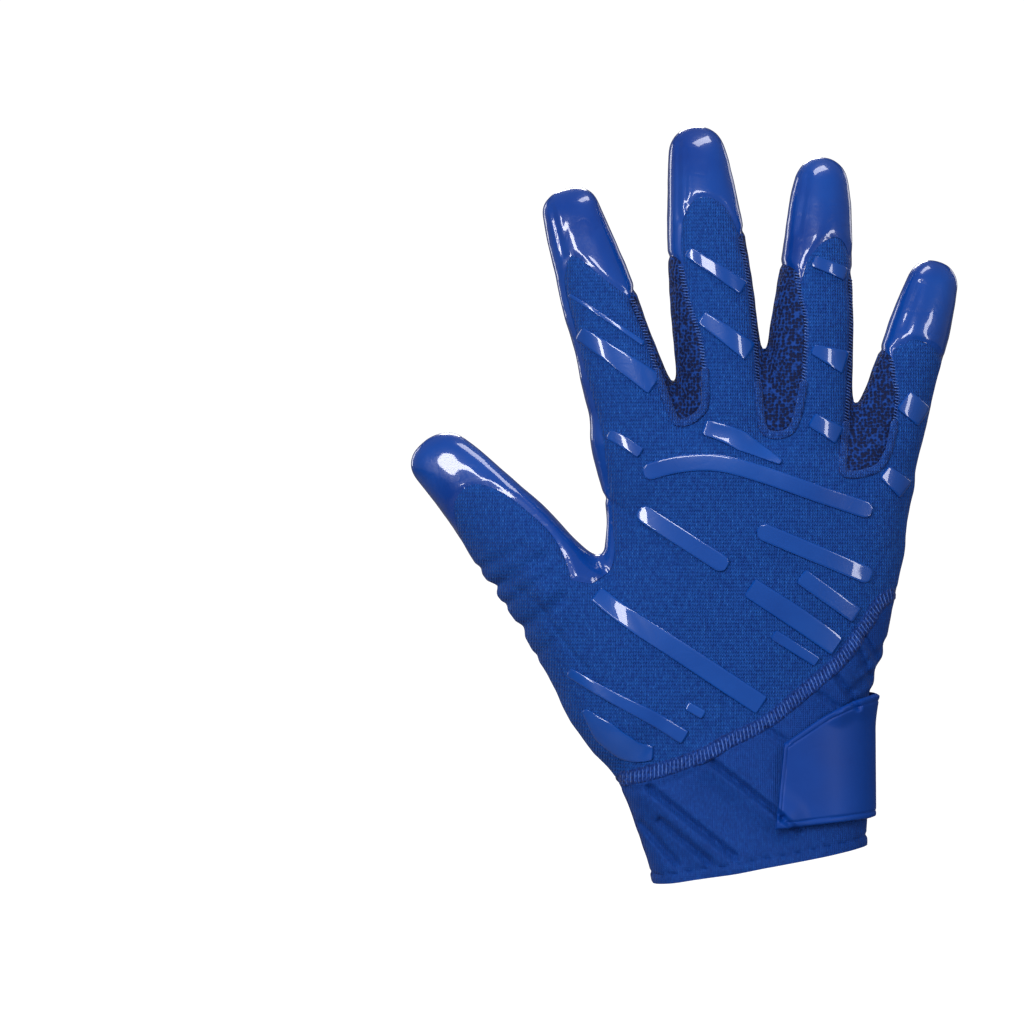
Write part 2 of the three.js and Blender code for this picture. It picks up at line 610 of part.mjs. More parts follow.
// Leather palm with the finger fronts and caps: all that is left.
addPanel('palm_panel', rest, BLUE_PALM);

// Moulded ribs, resting on the knit back.
const ribLayer = handSolid(SEAM_GAP + RIB_HEIGHT).subtract(handSolid(SEAM_GAP));
const ribs = [
  ...HAND_RIBS.map((rib) => ({ ...rib, path: rib.path.map(onHand) })),
  ...FINGER_RIBS.map((rib) => ({ ...rib, path: rib.path.map((place) => onDigit(DIGITS[rib.digit], place)) })),
];
for (const { name, path, widths, round } of ribs) {
  const outline = bandOutline(path, widths.map((share) => share * RIB_WIDTH), round);
  addPanel(name, ribLayer.intersect(prism(outline, -REACH, SIDE_SEAM_Y)), BLUE_RIB);
}

// Hook patch on the cuff, and the strap that comes round the little-finger side over it.
const patchTop = SEAM_GAP + PATCH_THICKNESS;
const patchLayer = handSolid(patchTop).subtract(handSolid(SEAM_GAP));
addPanel('hook_patch', patchLayer.intersect(prism(PATCH_EDGE.map(onHand), -REACH, SIDE_SEAM_Y)), NAVY_MESH);
const strapSkin = handSolid(patchTop + SEAM_GAP + STRAP_THICKNESS);
const strapTail = strapSkin.subtract(handSolid(patchTop + SEAM_GAP))
  .intersect(prism(STRAP_EDGE.map(onHand), -REACH, STRAP_WRAP));
const strapRoot = strapSkin.subtract(handSolid(SEAM_GAP))
  .intersect(prism(STRAP_ROOT_EDGE.map(onHand), SIDE_SEAM_Y + SLIT_WIDTH, STRAP_WRAP));
const strapRight = HAND_BREADTH * STRAP_INNER_SHARE;
const palmSide = prism([[-REACH, -REACH], [strapRight, -REACH], [strapRight, REACH], [-REACH, REACH]], 0, REACH);
addPanel('wrist_strap', strapTail.subtract(palmSide).add(strapRoot), BLUE_STRAP);

// Height of the folds in the knit back at a place: rounded ridges along straight runs.
function foldHeight(x, z) {
  return FOLDS.reduce((highest, { from, to, width, height }) => {
    const run = new THREE.Line3(new THREE.Vector3(...onHand(from), 0), new THREE.Vector3(...onHand(to), 0));
    const place = new THREE.Vector3(x, z, 0);
    const nearest = run.closestPointToPoint(place, true, new THREE.Vector3());
    const away = Math.min(1, nearest.distanceTo(place) / (width * PLEAT_WIDTH));
    return Math.max(highest, height * PLEAT_HEIGHT * (1 + Math.cos(Math.PI * away)) / 2);
  }, 0);
}

// Resting curve of the whole glove, added to Y: finger curl, thumb swing, arch across the hand, folds.
const fingertipZ = onDigit(DIGITS.middle, [1, 0])[1];
const thumbTip = onDigit(DIGITS.thumb, [1, 0]);
const indexSide = onDigit(DIGITS.index, [0.3, -1]);
function restingShift(x, y, z) {
  const curl = Math.max(0, (z - HAND_LENGTH) / (fingertipZ - HAND_LENGTH));
  const swing = THREE.MathUtils.smoothstep(-x, -indexSide[0], -thumbTip[0])
    * (1 - THREE.MathUtils.smoothstep(z, thumbTip[1] + SWING_FADE_START, thumbTip[1] + SWING_FADE_END));
  const arch = (x / (HAND_BREADTH / 2)) ** 2 * THREE.MathUtils.smoothstep(z, 0, HAND_LENGTH / 2);
  const onBack = THREE.MathUtils.smoothstep(-y, -PLEAT_FADE_START, -PLEAT_FADE_END);
  return FINGER_CURL * curl ** 2 + THUMB_SWING * swing + ARCH_DEPTH * Math.min(arch, ARCH_LIMIT)
    - foldHeight(x, z) * onBack;
}

// Mesh of a solid, bent into the resting curve.
function panelMesh({ name, solid, finish }) {
  const { vertProperties, triVerts, numProp } = solid.getMesh();
  const positions = [];
  for (let i = 0; i < vertProperties.length; i += numProp) {
    const [x, y, z] = vertProperties.subarray(i, i + 3);
    positions.push(x, y + restingShift(x, y, z), z);
  }
  const geometry = new THREE.BufferGeometry();
  geometry.setAttribute('position', new THREE.Float32BufferAttribute(positions, 3));
  geometry.setIndex(Array.from(triVerts));
  geometry.computeVertexNormals();
  const mesh = new THREE.Mesh(geometry, new THREE.MeshStandardMaterial(finish));
  mesh.name = name;
  return mesh;
}

const glove = new THREE.Group();
glove.add(...panels.map(panelMesh));

export default glove;
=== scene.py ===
"""Right-hand football receiver glove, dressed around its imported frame.

The glove is one soft skin, worked out as a level surface of a palm and five digits that melt into each other.
It is shaped flat, in millimetres, cut along its seams into the sewn panels, given a wall and then bent into
its resting curve. Ribs, seam bands, threads and the wrist strap are laid on that same skin.
"""
import logging
import math
from dataclasses import dataclass
from enum import Enum
from typing import Callable

import bpy
import numpy as np
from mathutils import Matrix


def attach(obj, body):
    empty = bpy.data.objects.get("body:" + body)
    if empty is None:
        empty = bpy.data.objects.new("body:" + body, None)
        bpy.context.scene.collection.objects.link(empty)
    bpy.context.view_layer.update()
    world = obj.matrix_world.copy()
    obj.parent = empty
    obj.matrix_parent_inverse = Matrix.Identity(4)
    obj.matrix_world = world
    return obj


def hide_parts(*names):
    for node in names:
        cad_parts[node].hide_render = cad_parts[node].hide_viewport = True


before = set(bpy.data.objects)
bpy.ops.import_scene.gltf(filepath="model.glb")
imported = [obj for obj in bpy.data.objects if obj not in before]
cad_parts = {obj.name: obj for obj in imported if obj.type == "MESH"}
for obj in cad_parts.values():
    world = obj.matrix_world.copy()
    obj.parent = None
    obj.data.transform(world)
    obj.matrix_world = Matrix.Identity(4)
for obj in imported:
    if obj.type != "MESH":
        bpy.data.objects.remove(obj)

LOG = logging.getLogger("glove")
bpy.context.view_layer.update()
MM = 0.001
BACK, PALM = -1, 1

Points = np.ndarray
Span = tuple[float, float]
Pairs = tuple[Span, ...]
Cutter = Callable[[Points], np.ndarray]


class Slot(Enum):
    """Material slots of the record."""

    PALM = "palm_leather"
    KNIT = "back_knit"
    MESH = "gusset_mesh"
    ELASTIC = "elastic"
    HOOK = "hook_patch"
    STRAP = "strap"
    RIBS = "ribs"


@dataclass(frozen=True)
class HandSize:
    """Driving sizes of the hand in millimetres; slopes are rise over run."""

    length: float = 128.0
    breadth: float = 95.5
    thickness: float = 30.0
    hem_slope: float = 0.18
    knuckle_slope: float = -0.152
    arch_depth: float = 4.0
    arch_limit: float = 1.6
    finger_curl: float = 14.0
    thumb_swing: float = 18.0
    side_seam: float = -1.5
    finger_seam: float = 3.0
    wall: float = 1.1
    roundness: float = 2.5
    digit_roundness: float = 2.2
    web_blend: float = 3.5
    thumb_blend: float = 5.5


HAND = HandSize()

# Palm sections: along, left, right, back, front as shares of the hand's length, breadth and thickness.
PALM_SECTIONS = (
    (-0.06, -0.335, 0.338, 0.65, 0.66), (0.00, -0.348, 0.341, 0.64, 0.66), (0.10, -0.390, 0.348, 0.60, 0.66),
    (0.20, -0.442, 0.348, 0.56, 0.65), (0.30, -0.523, 0.348, 0.53, 0.64), (0.40, -0.600, 0.364, 0.50, 0.62),
    (0.50, -0.584, 0.402, 0.49, 0.60), (0.60, -0.552, 0.428, 0.48, 0.57), (0.70, -0.513, 0.454, 0.47, 0.54),
    (0.80, -0.499, 0.478, 0.46, 0.51), (0.90, -0.519, 0.481, 0.44, 0.48), (0.97, -0.535, 0.493, 0.41, 0.45),
    (1.03, -0.500, 0.480, 0.34, 0.38),
)

# Depths along a finger and along the thumb: along, back, front as shares of half the thickness.
FINGER_DEPTHS = ((-0.25, 1.10, 1.16), (0.00, 1.05, 1.12), (0.30, 0.98, 1.04), (0.60, 0.93, 1.00),
                 (0.80, 0.84, 0.92), (0.93, 0.70, 0.76), (1.00, 0.52, 0.56))
THUMB_DEPTHS = ((-0.25, 0.80, 0.90), (0.00, 0.86, 1.00), (0.40, 0.76, 0.86), (0.66, 0.64, 0.70),
                (0.88, 0.52, 0.56), (0.97, 0.42, 0.46), (1.00, 0.34, 0.37))


def smooth_curve(points: np.ndarray, spacing: float) -> np.ndarray:
    """Catmull-Rom curve through points: each span blends its two ends and their neighbours by cubic weights.

    Args:
        points: Points in order, one a row.
        spacing: Distance between samples.

    Returns:
        The samples, one a row.
    """
    points = np.asarray(points, float)
    padded = np.vstack([2 * points[:1] - points[1:2], points, 2 * points[-1:] - points[-2:-1]])
    pieces = []
    for before, start, end, after in zip(padded[:-3], padded[1:-2], padded[2:-1], padded[3:]):
        count = max(2, int(math.ceil(np.linalg.norm(end - start) / spacing)))
        t = np.arange(count)[:, None] / count
        pieces.append(0.5 * (2 * start + (end - before) * t
                             + (2 * before - 5 * start + 4 * end - after) * t ** 2
                             + (3 * start - before - 3 * end + after) * t ** 3))
    pieces.append(points[-1:])
    return np.vstack(pieces)


class Profile:
    """Columns of a short table read smoothly along it."""

    SAMPLES = 24

    def __init__(self, rows: tuple[tuple[float, ...], ...]) -> None:
        """Samples the table's monotone cubic curve once.

        Args:
            rows: Rows whose first column is the place along.
        """
        table = np.asarray(rows, float)
        place, values = table[:, 0], table[:, 1:]
        run = np.diff(place)[:, None]
        slope = np.diff(values, axis=0) / run
        product = slope[:-1] * slope[1:]
        inner = np.where(product > 0, 2 * product / (slope[:-1] + slope[1:] + 1e-12), 0)
        tangent = np.vstack([slope[:1], inner, slope[-1:]])
        t = (np.arange(self.SAMPLES) / self.SAMPLES)[None, :, None]
        start, end = values[:-1, None], values[1:, None]
        span = run[:, None]
        cubic = ((2 * t ** 3 - 3 * t ** 2 + 1) * start + (t ** 3 - 2 * t ** 2 + t) * span * tangent[:-1, None]
                 + (-2 * t ** 3 + 3 * t ** 2) * end + (t ** 3 - t ** 2) * span * tangent[1:, None])
        self.place = np.append((place[:-1, None] + np.diff(place)[:, None] * t[0, :, 0]).ravel(), place[-1])
        self.values = np.vstack([cubic.reshape(-1, values.shape[1]), values[-1:]])

    def read(self, along: np.ndarray, column: int = 0) -> np.ndarray:
        """Returns one column's values at places along."""
        return np.interp(along, self.place, self.values[:, column])


def on_hand(places: np.ndarray) -> np.ndarray:
    """Returns flat X and Z in millimetres from shares of the hand's breadth and length."""
    return np.asarray(places, float) * (HAND.breadth, HAND.length)


@dataclass(frozen=True)
class Digit:
    """A finger or the thumb: millimetres, lean in degrees, root and sections as shares."""

    length: float
    breadth: float
    thickness: float
    lean: float
    root: tuple[float, float]
    halves: Pairs
    depths: tuple[tuple[float, float, float], ...] = FINGER_DEPTHS
    bow: float = 0.0
    foot: float = -0.12
    tip_start: float = 0.90
    tip_end: float = 1.012
    tip_power: float = 3.2

    @property
    def up(self) -> np.ndarray:
        """Direction up the digit in X and Z."""
        return np.array([math.sin(math.radians(self.lean)), math.cos(math.radians(self.lean))])

    @property
    def side(self) -> np.ndarray:
        """Direction to the digit's right in X and Z."""
        return np.array([math.cos(math.radians(self.lean)), -math.sin(math.radians(self.lean))])

    def place(self, shares: np.ndarray) -> np.ndarray:
        """Returns flat X and Z from shares of the length and of half the breadth.

        Args:
            shares: Rows of along and across.

        Returns:
            One place a row, in millimetres.
        """
        shares = np.atleast_2d(np.asarray(shares, float))
        along, across = shares[:, 0], shares[:, 1]
        shift = across * self.breadth / 2 + self.bow * 4 * along * (1 - along)
        return on_hand(self.root) + along[:, None] * self.length * self.up + shift[:, None] * self.side

    def field(self, points: Points) -> np.ndarray:
        """Signed depth of points: the rounded-box norm of their across, deep and end shares, less one.

        Args:
            points: Flat places in millimetres.

        Returns:
            Roughly the distance to the digit's surface, negative inside.
        """
        offset = points[:, [0, 2]] - on_hand(self.root)
        along = offset @ self.up / self.length
        across = offset @ self.side - self.bow * 4 * along * (1 - along)
        half = Profile(self.halves).read(along) * self.breadth / 2
        depths = Profile(self.depths)
        depth = np.where(points[:, 1] < 0, depths.read(along, 0), depths.read(along, 1)) * self.thickness / 2
        end = np.clip((along - self.tip_start) / (self.tip_end - self.tip_start), 0, None)
        foot = np.clip((self.foot - along) * self.length / half, 0, None)
        power = HAND.digit_roundness
        norm = (np.abs(across / half) ** power + np.abs(points[:, 1] / depth) ** power
                + end ** self.tip_power + foot ** power) ** (1 / power)
        return (norm - 1) * np.minimum(half, depth)


DIGITS: dict[str, Digit] = {
    "index": Digit(81.8, 26.8, 21.0, -17.0, (-0.380, 1.022), (
        (-0.25, 0.96), (0.00, 1.04), (0.24, 0.98), (0.40, 0.91), (0.56, 0.87), (0.71, 0.80), (0.83, 0.74),
        (0.92, 0.68), (1.02, 0.64))),
    "middle": Digit(94.9, 26.6, 21.5, -5.2, (-0.114, 1.046), (
        (-0.25, 1.00), (0.00, 1.05), (0.22, 1.00), (0.36, 1.00), (0.50, 0.97), (0.63, 0.91), (0.76, 0.83),
        (0.87, 0.74), (0.94, 0.66), (1.02, 0.56))),
    "ring": Digit(91.1, 27.0, 21.0, 4.5, (0.140, 0.998), (
        (-0.25, 1.00), (0.00, 1.08), (0.17, 1.05), (0.31, 1.00), (0.44, 0.955), (0.58, 0.86), (0.72, 0.78),
        (0.85, 0.71), (0.93, 0.63), (1.02, 0.53))),
    "pinky": Digit(77.1, 22.0, 18.5, 17.6, (0.347, 0.877), (
        (-0.25, 0.95), (0.00, 1.06), (0.17, 1.06), (0.34, 1.02), (0.48, 0.955), (0.61, 0.91), (0.74, 0.87),
        (0.84, 0.80), (0.92, 0.72), (1.02, 0.62))),
    "thumb": Digit(93.4, 30.0, 34.0, -38.1, (-0.487, 0.441), (
        (-0.25, 0.80), (-0.10, 0.98), (0.03, 1.05), (0.18, 1.04), (0.32, 1.01), (0.44, 0.99), (0.55, 0.96),
        (0.67, 0.87), (0.79, 0.77), (0.89, 0.71), (1.02, 0.62)), THUMB_DEPTHS, 3.3),
}

# Edge of the knit back on each digit: along and across shares from its left seam to its right seam.
KNIT_TOPS: dict[str, Pairs] = {
    "thumb": ((0.61, -1.10), (0.75, -0.63), (0.79, -0.36), (0.80, 0.00), (0.77, 0.28), (0.70, 0.49),
              (0.60, 0.63), (0.50, 0.70), (0.41, 0.62), (0.34, 0.46)),
    "index": ((0.05, -0.90), (0.20, -0.86), (0.48, -0.78), (0.64, -0.72), (0.71, -0.56), (0.75, -0.31),
              (0.70, -0.05), (0.62, 0.26), (0.55, 0.61), (0.50, 0.80)),
    "middle": ((0.50, -0.60), (0.59, -0.66), (0.69, -0.56), (0.75, -0.30), (0.765, 0.03), (0.74, 0.40),
               (0.69, 0.62), (0.62, 0.80)),
    "ring": ((0.56, -0.40), (0.64, -0.27), (0.69, -0.05), (0.725, 0.22), (0.73, 0.42), (0.71, 0.62),
             (0.66, 0.77), (0.58, 0.84)),
    "pinky": ((0.50, -0.40), (0.60, -0.60), (0.64, -0.38), (0.67, -0.10), (0.67, 0.26), (0.66, 0.55),
              (0.64, 0.83), (0.63, 1.40)),
}


@dataclass(frozen=True)
class Gusset:
    """Mesh gusset between two fingers: seams down the left finger and up the right one, in digit shares."""

    node: str
    left: str
    right: str
    down: Pairs
    up: Pairs


GUSSETS = (
    Gusset("gusset_index_middle", "index", "middle",
           ((0.60, 1.30), (0.53, 0.70), (0.40, 0.77), (0.23, 0.76), (0.10, 0.78), (0.02, 0.90)),
           ((0.07, -0.52), (0.16, -0.40), (0.27, -0.40), (0.34, -0.46), (0.43, -0.61), (0.56, -0.70),
            (0.61, -1.30))),
    Gusset("gusset_middle_ring", "middle", "ring",
           ((0.69, 1.25), (0.62, 0.76), (0.50, 0.84), (0.36, 0.87), (0.24, 0.86), (0.08, 0.82),
            (-0.02, 0.90)),
           ((0.06, -0.38), (0.18, -0.19), (0.32, -0.16), (0.44, -0.21), (0.52, -0.38), (0.60, -0.50),
            (0.66, -1.30))),
    Gusset("gusset_ring_pinky", "ring", "pinky",
           ((0.68, 1.20), (0.60, 0.78), (0.45, 0.86), (0.30, 0.90), (0.12, 0.90), (0.01, 0.88),
            (-0.07, 0.94)),
           ((0.12, -0.12), (0.20, 0.10), (0.32, 0.04), (0.42, -0.08), (0.49, -0.32), (0.57, -0.58),
            (0.63, -1.45))),
)

# Outlines on the hand: across and along shares.
WEB_EDGE = ((-0.545, 0.676), (-0.480, 0.727), (-0.490, 0.877))
OVERLOCK_PATH = ((-0.62, 0.170), (-0.39, 0.218), (-0.227, 0.257), (-0.12, 0.298), (0.013, 0.349),
                 (0.149, 0.430), (0.256, 0.499), (0.338, 0.579), (0.395, 0.635), (0.56, 0.700))
OUTER_THUMB_SEAM = ((-0.84, 0.675), (-0.74, 0.637), (-0.682, 0.581), (-0.617, 0.513), (-0.536, 0.443),
                    (-0.461, 0.341), (-0.455, 0.237), (-0.435, 0.180))
GUSSET_OUTER_SEAM = ((-0.86, 0.660), (-0.765, 0.625), (-0.711, 0.581), (-0.655, 0.501), (-0.590, 0.417),
                     (-0.550, 0.345), (-0.515, 0.250), (-0.480, 0.190))
THENAR_SEAM = ((-0.520, 0.890), (-0.403, 0.828), (-0.295, 0.753), (-0.198, 0.625), (-0.133, 0.499),
               (-0.123, 0.388), (-0.146, 0.291), (-0.224, 0.228), (-0.338, 0.190))
THENAR_DART = ((-0.357, 0.77), (-0.347, 0.714), (-0.364, 0.625), (-0.422, 0.535), (-0.455, 0.555),
               (-0.497, 0.625), (-0.549, 0.71))
ELASTIC_EDGE = ((-0.224, -0.15), (-0.224, -0.03), (-0.240, 0.165), (-0.320, 0.176), (-0.345, 0.210),
                (-0.520, 0.210), (-0.700, 0.150), (-0.700, -0.15))


@dataclass(frozen=True)
class Fold:
    """Rounded ridge of the skin along a straight run on the hand; width and height in millimetres."""

    start: tuple[float, float]
    end: tuple[float, float]
    width: float
    height: float


# Rounded folds of the cuff, the wrist's little-finger side and the thumb's base.
FOLDS = (
    Fold((-0.162, 0.257), (0.060, 0.118), 9.0, 2.2),
    Fold((-0.370, 0.170), (-0.097, 0.010), 10.0, 2.2),
    Fold((-0.420, 0.080), (-0.300, -0.030), 8.0, 1.8),
    Fold((0.182, 0.417), (0.245, 0.375), 6.3, 1.3),
    Fold((0.250, 0.455), (0.315, 0.390), 6.3, 1.5),
    Fold((0.312, 0.513), (0.375, 0.440), 6.3, 1.5),
    Fold((-0.760, 0.700), (-0.690, 0.640), 6.3, 1.1),
)

# Narrow creases pressed into the skin: ends on the hand, width and depth in millimetres.
CREASES = (
    Fold((-0.162, 0.250), (0.052, 0.124), 1.9, -2.2),
    Fold((-0.363, 0.186), (-0.097, 0.028), 2.1, -2.4),
    Fold((-0.330, 0.110), (-0.175, 0.015), 2.0, -2.2),
    Fold((-0.390, 0.100), (-0.280, 0.010), 1.9, -1.9),
    Fold((0.060, 0.118), (0.110, 0.085), 1.8, -1.4),
    Fold((0.010, 0.330), (0.068, 0.300), 1.7, -1.2),
    Fold((0.182, 0.412), (0.240, 0.380), 1.7, -1.4),
    Fold((0.240, 0.450), (0.305, 0.380), 1.8, -1.6),
    Fold((0.312, 0.510), (0.364, 0.430), 1.8, -1.6),
    Fold((0.331, 0.544), (0.386, 0.480), 1.8, -1.6),
    Fold((-0.560, 0.745), (-0.480, 0.690), 3.0, -0.6),
)

# Wrinkles at the thumb's base and at the little-finger side, which also notch the outline.
WRINKLES = (
    Fold((-0.960, 0.690), (-0.770, 0.765), 2.4, -0.7),
    Fold((-0.900, 0.648), (-0.705, 0.738), 3.2, -1.3),
    Fold((-0.850, 0.606), (-0.690, 0.700), 2.2, -0.7),
    Fold((-0.800, 0.548), (-0.645, 0.640), 3.4, -1.2),
    Fold((-0.735, 0.490), (-0.620, 0.572), 2.4, -0.5),
    Fold((0.262, 0.378), (0.400, 0.424), 2.0, -0.6),
    Fold((0.292, 0.417), (0.410, 0.480), 2.6, -0.9),
    Fold((0.318, 0.470), (0.430, 0.540), 2.0, -0.6),
)


def across_path(path: np.ndarray) -> np.ndarray:
    """Returns unit normals to a flat path, one a sample."""
    step = np.gradient(path, axis=0)
    step /= np.linalg.norm(step, axis=1, keepdims=True)
    return np.column_stack([-step[:, 1], step[:, 0]])


def length_along(path: np.ndarray) -> np.ndarray:
    """Returns the distance along a path from its start to each sample."""
    return np.concatenate([[0], np.cumsum(np.linalg.norm(np.diff(path, axis=0), axis=1))])


def run_distance(places: np.ndarray, start: np.ndarray, end: np.ndarray) -> np.ndarray:
    """Returns distances of places to a straight run, from each place to its nearest point on the run."""
    run = end - start
    share = np.clip((places - start) @ run / (run @ run), 0, 1)
    return np.linalg.norm(places - start - share[:, None] * run, axis=1)


def ridge(places: np.ndarray, folds: tuple[Fold, ...]) -> np.ndarray:
    """Sum of ridges: each one half a cosine wave across its run.

    Args:
        places: Flat X and Z.
        folds: Ridges, or creases where the height is negative.

    Returns:
        Height over the skin.
    """
    total = np.zeros(len(places))
    for fold in folds:
        away = run_distance(places, on_hand(fold.start), on_hand(fold.end)) / fold.width
        total += fold.height * (1 + np.cos(np.pi * np.clip(away, 0, 1))) / 2
    return total


def smoothstep(values: np.ndarray, low: float, high: float) -> np.ndarray:
    """Returns 0 below low, 1 above high and a smooth cubic between."""
    t = np.clip((values - low) / (high - low), 0, 1)
    return t * t * (3 - 2 * t)


def melt(first: np.ndarray, second: np.ndarray, blend: float) -> np.ndarray:
    """Returns the lesser of two fields, with the crossing rounded over a blend length."""
    share = np.clip(0.5 + 0.5 * (second - first) / blend, 0, 1)
    return second + (first - second) * share - blend * share * (1 - share)


def digit_fold(name: str, start: tuple[float, float], end: tuple[float, float], width: float,
               height: float) -> Fold:
    """Returns a fold whose ends are given as shares of a digit.

    Args:
        name: The digit.
        start: Along and across shares of its start.
        end: Along and across shares of its end.
        width: Width in millimetres.
        height: Height in millimetres.
    """
    ends = DIGITS[name].place((start, end)) / (HAND.breadth, HAND.length)
    return Fold(tuple(ends[0]), tuple(ends[1]), width, height)


# Creases down the left flanks of the fingertips.
TIP_CREASES = (
    digit_fold("index", (0.76, -0.50), (0.95, -0.42), 1.5, -0.5),
    digit_fold("middle", (0.70, -0.62), (0.96, -0.42), 1.6, -0.6),
    digit_fold("middle", (0.74, -0.44), (0.93, -0.30), 1.3, -0.35),
    digit_fold("ring", (0.74, -0.50), (0.94, -0.36), 1.5, -0.5),
    digit_fold("pinky", (0.70, -0.50), (0.90, -0.40), 1.5, -0.5),
)


class Skin:
    """The whole hand as a level surface, its mesh in the flat, and its bend into the resting curve."""

    STEP = 0.85
    LOW = np.array([-116.0, -27.0, -11.0])
    HIGH = np.array([68.0, 27.0, 236.0])
    BATCHES = 24
    DEPTH_REACH = 32.0
    HALVINGS = 22
    KNUCKLE_START = 0.93
    KNUCKLE_END = 1.045
    BACK_FADE = (-2.0, 6.0)

    def __init__(self) -> None:
        """Reads the tables and finds the places that the bend starts from."""
        self.palm = Profile(PALM_SECTIONS)
        self.finger_top = DIGITS["middle"].place((1, 0))[0, 1]
        self.thumb_tip = DIGITS["thumb"].place((1, 0))[0]
        self.index_side = DIGITS["index"].place((0.3, -1))[0, 0]

    def palm_field(self, points: Points) -> np.ndarray:
        """Signed depth in the palm: sections tilt from the hem's slope to that of the knuckles.

        Args:
            points: Flat places in millimetres.

        Returns:
            Roughly the distance to the palm's surface, negative inside.
        """
        x, y, z = points.T
        along = z / HAND.length
        for _ in range(3):
            slope = HAND.hem_slope + (HAND.knuckle_slope - HAND.hem_slope) * np.clip(along, 0, 1)
            along = (z - slope * x) / HAND.length
        left = self.palm.read(along, 0) * HAND.breadth
        right = self.palm.read(along, 1) * HAND.breadth
        depth = np.where(y < 0, self.palm.read(along, 2), self.palm.read(along, 3)) * HAND.thickness
        half = (right - left) / 2
        end = np.clip((along - self.KNUCKLE_START) / (self.KNUCKLE_END - self.KNUCKLE_START), 0, None)
        norm = (np.abs((x - (left + right) / 2) / half) ** HAND.roundness
                + np.abs(y / depth) ** HAND.roundness + end ** 3) ** (1 / HAND.roundness)
        return (norm - 1) * np.minimum(half, depth)

    def field(self, points: Points) -> np.ndarray:
        """Returns the depth in the whole hand, its digits melted into the palm one by one."""
        total = self.palm_field(points)
        for name, digit in DIGITS.items():
            blend = HAND.thumb_blend if name == "thumb" else HAND.web_blend
            total = melt(total, digit.field(points), blend)
        return total

    def normal(self, points: Points) -> np.ndarray:
        """Returns unit normals, the field's slope by central differences."""
        step = 0.15
        slope = np.empty_like(points)
        for axis in range(3):
            shift = np.zeros(3)
            shift[axis] = step
            slope[:, axis] = self.field(points + shift) - self.field(points - shift)
        return slope / np.maximum(np.linalg.norm(slope, axis=1, keepdims=True), 1e-9)

    def settle(self, points: Points, rounds: int = 3) -> Points:
        """Returns points moved onto the surface along the field's slope.

        Args:
            points: Places near the surface.
            rounds: Newton steps.

        Returns:
            The moved points.
        """
        step = 0.1
        flattest = 0.05
        longest = 1.5
        for _ in range(rounds):
            value = self.field(points)
            slope = np.stack([(self.field(points + shift) - value) / step
                              for shift in np.eye(3) * step], axis=1)
            square = np.maximum((slope ** 2).sum(1), flattest)
            move = np.clip(-value / square, -longest, longest)
            points = points + move[:, None] * slope
        return points

    def reach(self, starts: Points, rays: np.ndarray, limit: float) -> np.ndarray:
        """Distances from places inside to the skin along rays, by halving the stretch that holds it.

        Args:
            starts: Flat places inside the hand.
            rays: Unit directions, one for each place or one for all.
            limit: Distance that is surely outside.

        Returns:
            Distances in millimetres.
        """
        near = np.zeros(len(starts))
        far = np.full(len(starts), limit)
        for _ in range(self.HALVINGS):
            middle = (near + far) / 2
            inside = self.field(starts + rays * middle[:, None]) < 0
            near = np.where(inside, middle, near)
            far = np.where(inside, far, middle)
        return (near + far) / 2

    def height(self, places: np.ndarray, side: int) -> np.ndarray:
        """Y of the skin over flat places.

        Args:
            places: Flat X and Z.
            side: BACK or PALM.

        Returns:
            Y in millimetres.
        """
        starts = np.column_stack([places[:, 0], np.zeros(len(places)), places[:, 1]])
        return side * self.reach(starts, np.array([[0.0, side, 0.0]]), self.DEPTH_REACH)

    def bend(self, points: Points) -> Points:
        """Resting curve in metres: finger curl, thumb swing, arch across the hand and the folds, all in Y.

        Args:
            points: Flat places in millimetres.

        Returns:
            Places in the frame, in metres.
        """
        x, y, z = points.T
        curl = np.clip((z - HAND.length) / (self.finger_top - HAND.length), 0, None)
        above_thumb = smoothstep(z, self.thumb_tip[1] + 4, self.thumb_tip[1] + 20)
        swing = smoothstep(-x, -self.index_side, -self.thumb_tip[0]) * (1 - above_thumb)
        arch = (x / (HAND.breadth / 2)) ** 2 * smoothstep(z, 0, HAND.length / 2)
        folds = ridge(points[:, [0, 2]], FOLDS + CREASES + TIP_CREASES) * smoothstep(-y, *self.BACK_FADE)
        shift = (HAND.finger_curl * curl ** 2 + HAND.thumb_swing * swing
                 + HAND.arch_depth * np.minimum(arch, HAND.arch_limit) - folds)
        return np.column_stack([x, y + shift, z]) * MM

